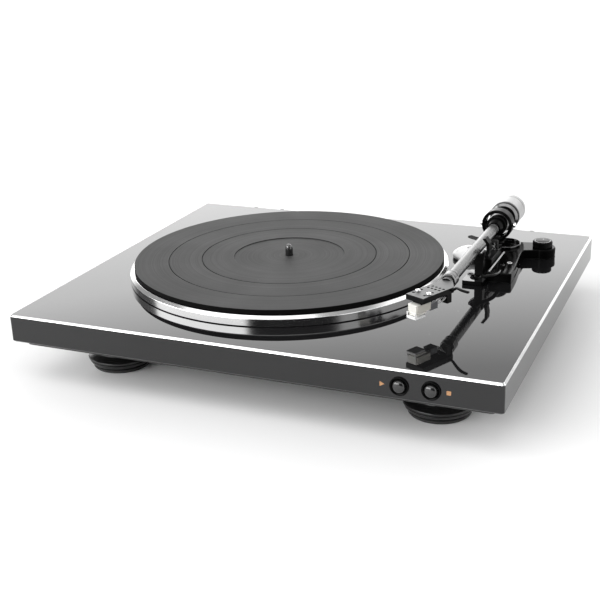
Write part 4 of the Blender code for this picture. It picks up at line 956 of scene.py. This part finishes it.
# Headshell: a perforated plate with its sides and underside painted near-black as shade, set at its offset
# angle.
shellSettings = {"angle": 24.5, "front": (127.0, -115.2), "width": 18.3, "aboveCartridge": 1.9, "thick": 4.5,
                 "round": 0.2, "shadeSideTilt": 0.7}
holeSettings = {"radius": 1.2, "rows": (27.4, 23.0), "first": -5.0, "pitch": 3.8, "shift": -0.8,
                "slotEnds": ((-0.6, 15.6), (-1.0, 6.4)), "sunk": 3.0, "above": 2.0}
screwSettings = {"across": 5.8, "back": 10.5, "slotHalf": 0.38, "slotFloor": 0.6}
shellTop = extent("cartridge")[1][2] + shellSettings["aboveCartridge"]
shellBottom = shellTop - shellSettings["thick"]


def shellPoint(across, back):
    # Across and back from the middle of the shell's front edge, turned by the offset angle.
    angle = math.radians(shellSettings["angle"])
    x = shellSettings["front"][0] + across * math.cos(angle) + back * math.sin(angle)
    y = shellSettings["front"][1] - across * math.sin(angle) + back * math.cos(angle)
    return np.array([x, y])


def shellPrism(across0, back0, across1, back1, radius, low, high, roundLow=0.0, roundHigh=0.0):
    # A rounded rectangle in the shell's own directions, carried upwards.
    outline = np.array([shellPoint(a, b) for a, b in roundedBox(across0, back0, across1, back1, radius)])
    return prism(outline, low, high, roundLow, roundHigh)


def shellHole(across, back, steps):
    # A cutter for one round hole through the top plate.
    radius, low = holeSettings["radius"], shellTop - holeSettings["sunk"]
    high = shellTop + holeSettings["above"]
    centre = (*shellPoint(across, back), 0)
    return turned([(0, low), (radius, low), (radius, high), (0, high)], centre, steps=steps)


half = shellSettings["width"] / 2
shell = refined("shell", "headshell", shellMetal, "arm_body", shellSettings["round"])
holes = []
for row, back in enumerate(holeSettings["rows"]):
    for index in range(4):
        across = holeSettings["first"] + index * holeSettings["pitch"] + row * holeSettings["shift"]
        holes.append(shellHole(across, back, 20))
for across in (-screwSettings["across"], screwSettings["across"]):
    holes += [shellHole(across + shift, back, 24) for shift, back in holeSettings["slotEnds"]]
shell.modifiers.clear()
carve(shell, holes)
# The shell's sides and underside turn near-black: painted shade below the plate's edge.
paintSideShade(shell, shellBlackAndShade, shellSettings["shadeSideTilt"])
# A near-black sheet under the plate, seen through its holes: painted shade for the shell's dark inside.
liner = shellPrism(-half + 1.8, 1.8, half - 1.8, 31.0, 0.6, shellTop - 2.1, shellTop - 1.7)
addPiece("shell_shade_sheet", [liner], shellBlackAndShade, "arm_body")
roundEdges(shell, shellSettings["round"], 2, 38.0)
shell.modifiers.new("WeightedNormal", "WEIGHTED_NORMAL").keep_sharp = True

headBase = shellTop + 0.3


def screwSlot(radius, height, angle):
    # The head's top sinks inside a straight slot.
    slotZ = headBase + screwSettings["slotFloor"]
    inside = (np.abs(radius * np.sin(angle)) < screwSettings["slotHalf"]) & (height > slotZ)
    return radius, np.where(inside, slotZ, height)


for side, sign in (("left", -1), ("right", 1)):
    low = extent("cartridge_screw_" + side)[0][2]
    profile = softProfile([
        (0, low), (1.2, low, 0.1), (1.2, headBase), (2.3, headBase, 0.2), (2.3, headBase + 0.8, 0.3),
        (1.5, headBase + 1.45, 0.4), (0, headBase + 1.5)])
    centre = (*shellPoint(sign * screwSettings["across"], screwSettings["back"]), 0)
    head = turned(densified(profile, 90), centre, steps=96, bend=screwSlot)
    addPiece("shell_screw_" + side, [head], chrome, "arm_body", ["cartridge_screw_" + side])

# Cartridge: a dark mount, an ivory body with one side painted darker as shade, then the grey terminal block.
(_, _, low), (_, _, high) = extent("cartridge")
bodyTop = shellBottom - 0.6
mount = shellPrism(-5.0, 2.6, 5.0, 16.0, 0.8, bodyTop - 2.6, high, 0.3, 0.2)
body = shellPrism(-5.2, -2.4, 4.2, 14.5, 0.9, low, bodyTop - 1.6, 0.4, 0.5)
side = shellPrism(4.25, -1.6, 5.2, 14.0, 0.3, low + 0.4, bodyTop - 2.2, 0.2, 0.2)
addPiece("cartridge_mount", [mount], shellBlackAndShade, "arm_body")
addPiece("cartridge_body", [body], ivory, "arm_body", ["cartridge"])
addPiece("cartridge_shade_side", [side], ivoryShade, "arm_body")
(_, _, low), (_, _, high) = extent("terminal_block")
block = shellPrism(-4.0, 14.9, 4.0, 24.0, 0.5, low, high, 0.3, 0.3)
addPiece("terminals", [block], greyPlastic, "arm_body", ["terminal_block"])

# Four pins in two heights, each with a short lead that spreads to the socket behind it.
pinSettings = {"count": 4, "first": -2.7, "pitch": 1.8, "back": (24.0, 26.6), "step": 0.8, "radius": 0.45,
               "leadBack": (29.4, 31.3), "leadAcross": ((2.0, 1.1), (3.6, 0.8)), "leadDrop": 3.4}
pins, leads = [], []
pinWidths = (pinSettings["radius"],) * 3
for index in range(pinSettings["count"]):
    across = pinSettings["first"] + pinSettings["pitch"] * index
    z = (low + high) / 2 + (pinSettings["step"] if index % 2 else -pinSettings["step"])
    start, tip = (shellPoint(across, back) for back in pinSettings["back"])
    bend, end = (shellPoint(shift + across * spread, back) for (shift, spread), back in
                 zip(pinSettings["leadAcross"], pinSettings["leadBack"]))
    pins.append(tube([(*start, z), (*(start + tip) / 2, z), (*tip, z)], pinWidths, count=8, steps=12))
    route = [(*tip, z), (*bend, z + 1.8), (*end, shellBottom - pinSettings["leadDrop"])]
    leads.append(tube(route, pinWidths, count=20, steps=10))
addPiece("terminal_pins", pins, goldPin, "arm_body")
addPiece("shell_leads", leads, whitePlastic, "arm_body")

# Stylus: its holder, the needle, and the guard with its ridge and two ears.
(_, _, low), (_, _, high) = extent("stylus_holder")
holder = shellPrism(-4.4, -2.0, 4.4, 10.0, 0.7, low + 0.6, high, 0.2, 0.2)
addPiece("stylus_block", [holder], ivory, "arm_body", ["stylus_holder"])
turnedPiece("stylus_needle", [(0, low), (0.12, low), (0.3, low + 0.8)], (*shellPoint(0, 1.5), 0), steel,
            "arm_body", steps=24)
(_, _, low), (_, _, high) = extent("stylus_guard")
plate = shellPrism(-5.0, -4.2, 5.0, 8.0, 0.8, low, low + 1.2, 0.3, 0.3)
ridge = shellPrism(-4.9, -4.1, 4.9, -3.3, 0.3, low + 0.6, low + 1.9, 0.1, 0.3)
ears = [shellPrism(across, -4.0, across + 1.0, -2.9, 0.3, low + 0.4, high, 0.1, 0.3) for across in (-4.8,
                                                                                                    3.8)]
addPiece("guard", [plate, ridge] + ears, whitePlastic, "guard_body", ["stylus_guard"])

# Finger lift: points across, back and up from the shell's right edge, flattened towards its tip.
fingerSettings = {"route": ((1.0, 33.6, -1.8), (3.0, 34.0, -0.4), (6.5, 33.2, 1.6), (14.5, 29.8, 2.6),
                            (21.0, 29.0, 2.9)),
                  "widths": (1.1, 1.1, 1.3, 1.6, 1.7), "heights": (1.1, 1.1, 1.1, 1.1, 1.0)}
route = [(*shellPoint(half + across, back), shellTop + lift) for across, back,
         lift in fingerSettings["route"]]
bar = tube(route, fingerSettings["widths"], fingerSettings["heights"], 56, 24)
addPiece("finger_bar", [bar], armPlastic, "arm_body", ["finger_lift"])
print("headshell done")

# Inner parts keep their CAD shape and only take a finish.
innerFinishes = {"bearing_housing": steel, "bearing_sleeve": brass, "motor": steel, "motor_plate": steel,
                 "drive_belt": beltRubber, "circuit_board": boardGreen, "start_switch": casePlastic,
                 "stop_switch": casePlastic, "hub_pinion": gearNylon, "cycle_gear": gearNylon,
                 "motor_pulley": brass, "arm_shaft": steel}
for name, material in innerFinishes.items():
    data = frame["nodes"][name].data
    data.materials.clear()
    data.materials.append(material)

# Floor: one large pale square under everything.
floorSize = 40.0
floorData = bpy.data.meshes.new("floor")
floorCorners = [(x * floorSize, y * floorSize, 0) for x, y in ((-1, -1), (1, -1), (1, 1), (-1, 1))]
floorData.from_pydata(floorCorners, [], [(0, 1, 2, 3)])
floor = bpy.data.objects.new("floor", floorData)
scene.collection.objects.link(floor)
floorFinish = makeMaterial("floorFinish", (grey(0.90), grey(0.91)), (0.7, 0.8), haze=0.5, grain=40.0,
                           depth=0.0)
floorData.materials.append(floorFinish)

# Studio light as a sky: each panel is a soft box in azimuth and elevation, in degrees.
skySettings = {"fill": 0.32, "frontShade": 0.9, "frontAzimuth": (-94.0, -36.0),
               "frontElevation": (-80.0, 42.0), "zenith": 0.25, "zenithFrom": 70.0, "backLow": 2.65,
               "backHigh": 0.95, "backFall": (19.0, 24.6), "backAzimuth": (72.0, 146.0), "backTop": 50.0,
               "fallMiddle": 112.0, "fallRise": -0.055}
panelSettings = {  # azimuth range, elevation range, strength, softness of each
    "overhead": ((-176.0, -30.0), (46.0, 76.0), 1.55, 6.0, 5.0),
    "keyLeft": ((-176.0, -97.0), (9.0, 36.0), 5.5, 2.0, 4.0),
    "right": ((-32.0, 62.0), (-5.0, 52.0), 1.25, 2.0, 8.0)}
degreesPerRadian = 57.29578
world = bpy.data.worlds.new("studio")
scene.world = world
world.use_nodes = True
sky = world.node_tree
direction = node(sky, "ShaderNodeTexCoord").outputs["Generated"]
direction = node(sky, "ShaderNodeSeparateXYZ", {0: direction}).outputs
azimuth = maths(sky, "MULTIPLY", maths(sky, "ARCTAN2", direction[1], direction[0]), degreesPerRadian)
elevation = maths(sky, "MULTIPLY", maths(sky, "ARCSINE", direction[2]), degreesPerRadian)


def step(value, edge, soft):
    # Rises smoothly from 0 to 1 round the edge.
    return node(sky, "ShaderNodeMapRange", {"Value": value, "From Min": edge - soft,
                                            "From Max": edge + soft},
                interpolation_type="SMOOTHSTEP").outputs[0]


def window(value, low, high, soft):
    # 1 between low and high: a step up times one less a step up.
    below = maths(sky, "SUBTRACT", 1.0, step(value, high, soft))
    return maths(sky, "MULTIPLY", step(value, low, soft), below)


def panel(total, az, el, strength, softAz, softEl):
    # Adds strength inside a window of azimuth times a window of elevation.
    mask = maths(sky, "MULTIPLY", window(azimuth, *az, softAz), window(elevation, *el, softEl))
    return maths(sky, "ADD", total, maths(sky, "MULTIPLY", mask, strength))


frontShade = maths(sky, "MULTIPLY", window(azimuth, *skySettings["frontAzimuth"], 3.0),
                   window(elevation, *skySettings["frontElevation"], 6.0))
shadeLeft = maths(sky, "SUBTRACT", 1.0, maths(sky, "MULTIPLY", frontShade, skySettings["frontShade"]))
fill = maths(sky, "MULTIPLY", shadeLeft, skySettings["fill"])
zenith = maths(sky, "MULTIPLY", step(elevation, skySettings["zenithFrom"], 12.0), skySettings["zenith"])
total = maths(sky, "ADD", fill, zenith)
for settings in panelSettings.values():
    total = panel(total, *settings)
# The glow behind starts to fall at a height that rises a little towards the left.
fromMiddle = maths(sky, "SUBTRACT", azimuth, skySettings["fallMiddle"])
shifted = maths(sky, "ADD", elevation, maths(sky, "MULTIPLY", fromMiddle, skySettings["fallRise"]))
backGlow = node(sky, "ShaderNodeMapRange", {
    "Value": shifted, "From Min": skySettings["backFall"][0], "From Max": skySettings["backFall"][1],
    "To Min": skySettings["backLow"], "To Max": skySettings["backHigh"]}).outputs[0]
underTop = maths(sky, "SUBTRACT", 1.0, step(elevation, skySettings["backTop"], 12.0))
backMask = maths(sky, "MULTIPLY", window(azimuth, *skySettings["backAzimuth"], 12.0), underTop)
total = maths(sky, "ADD", total, maths(sky, "MULTIPLY", backMask, backGlow))
background = sky.nodes["Background"]
sky.links.new(total, background.inputs["Strength"])
background.inputs["Color"].default_value = (1.0, 1.0, 1.0, 1.0)

# Camera: target plus distance along the view's back direction, then a small roll about it.
cameraSettings = {"azimuth": 23.97, "elevation": 20.69, "roll": -2.12, "distance": 969.03, "lens": 66.67,
                  "targetX": 9.32, "targetY": -72.83, "sensor": 36.0, "farthest": 100.0}
a, e, r = (math.radians(cameraSettings[key]) for key in ("azimuth", "elevation", "roll"))
backward = Vector((math.sin(a) * math.cos(e), -math.cos(a) * math.cos(e), math.sin(e)))
right = Vector((math.cos(a), math.sin(a), 0.0))
up = backward.cross(right)
rolledRight = right * math.cos(r) + up * math.sin(r)
rolledUp = up * math.cos(r) - right * math.sin(r)
target = Vector((cameraSettings["targetX"], cameraSettings["targetY"], deckZ)) * mm
cameraData = bpy.data.cameras.new("camera")
cameraData.lens = cameraSettings["lens"]
cameraData.sensor_width = cameraSettings["sensor"]
cameraData.clip_end = cameraSettings["farthest"]
camera = bpy.data.objects.new("camera", cameraData)
scene.collection.objects.link(camera)
turn = Matrix((rolledRight, rolledUp, backward)).transposed().to_4x4()
camera.matrix_world = Matrix.Translation(target + backward * cameraSettings["distance"] * mm) @ turn
scene.camera = camera
scene.view_settings.view_transform = "Standard"
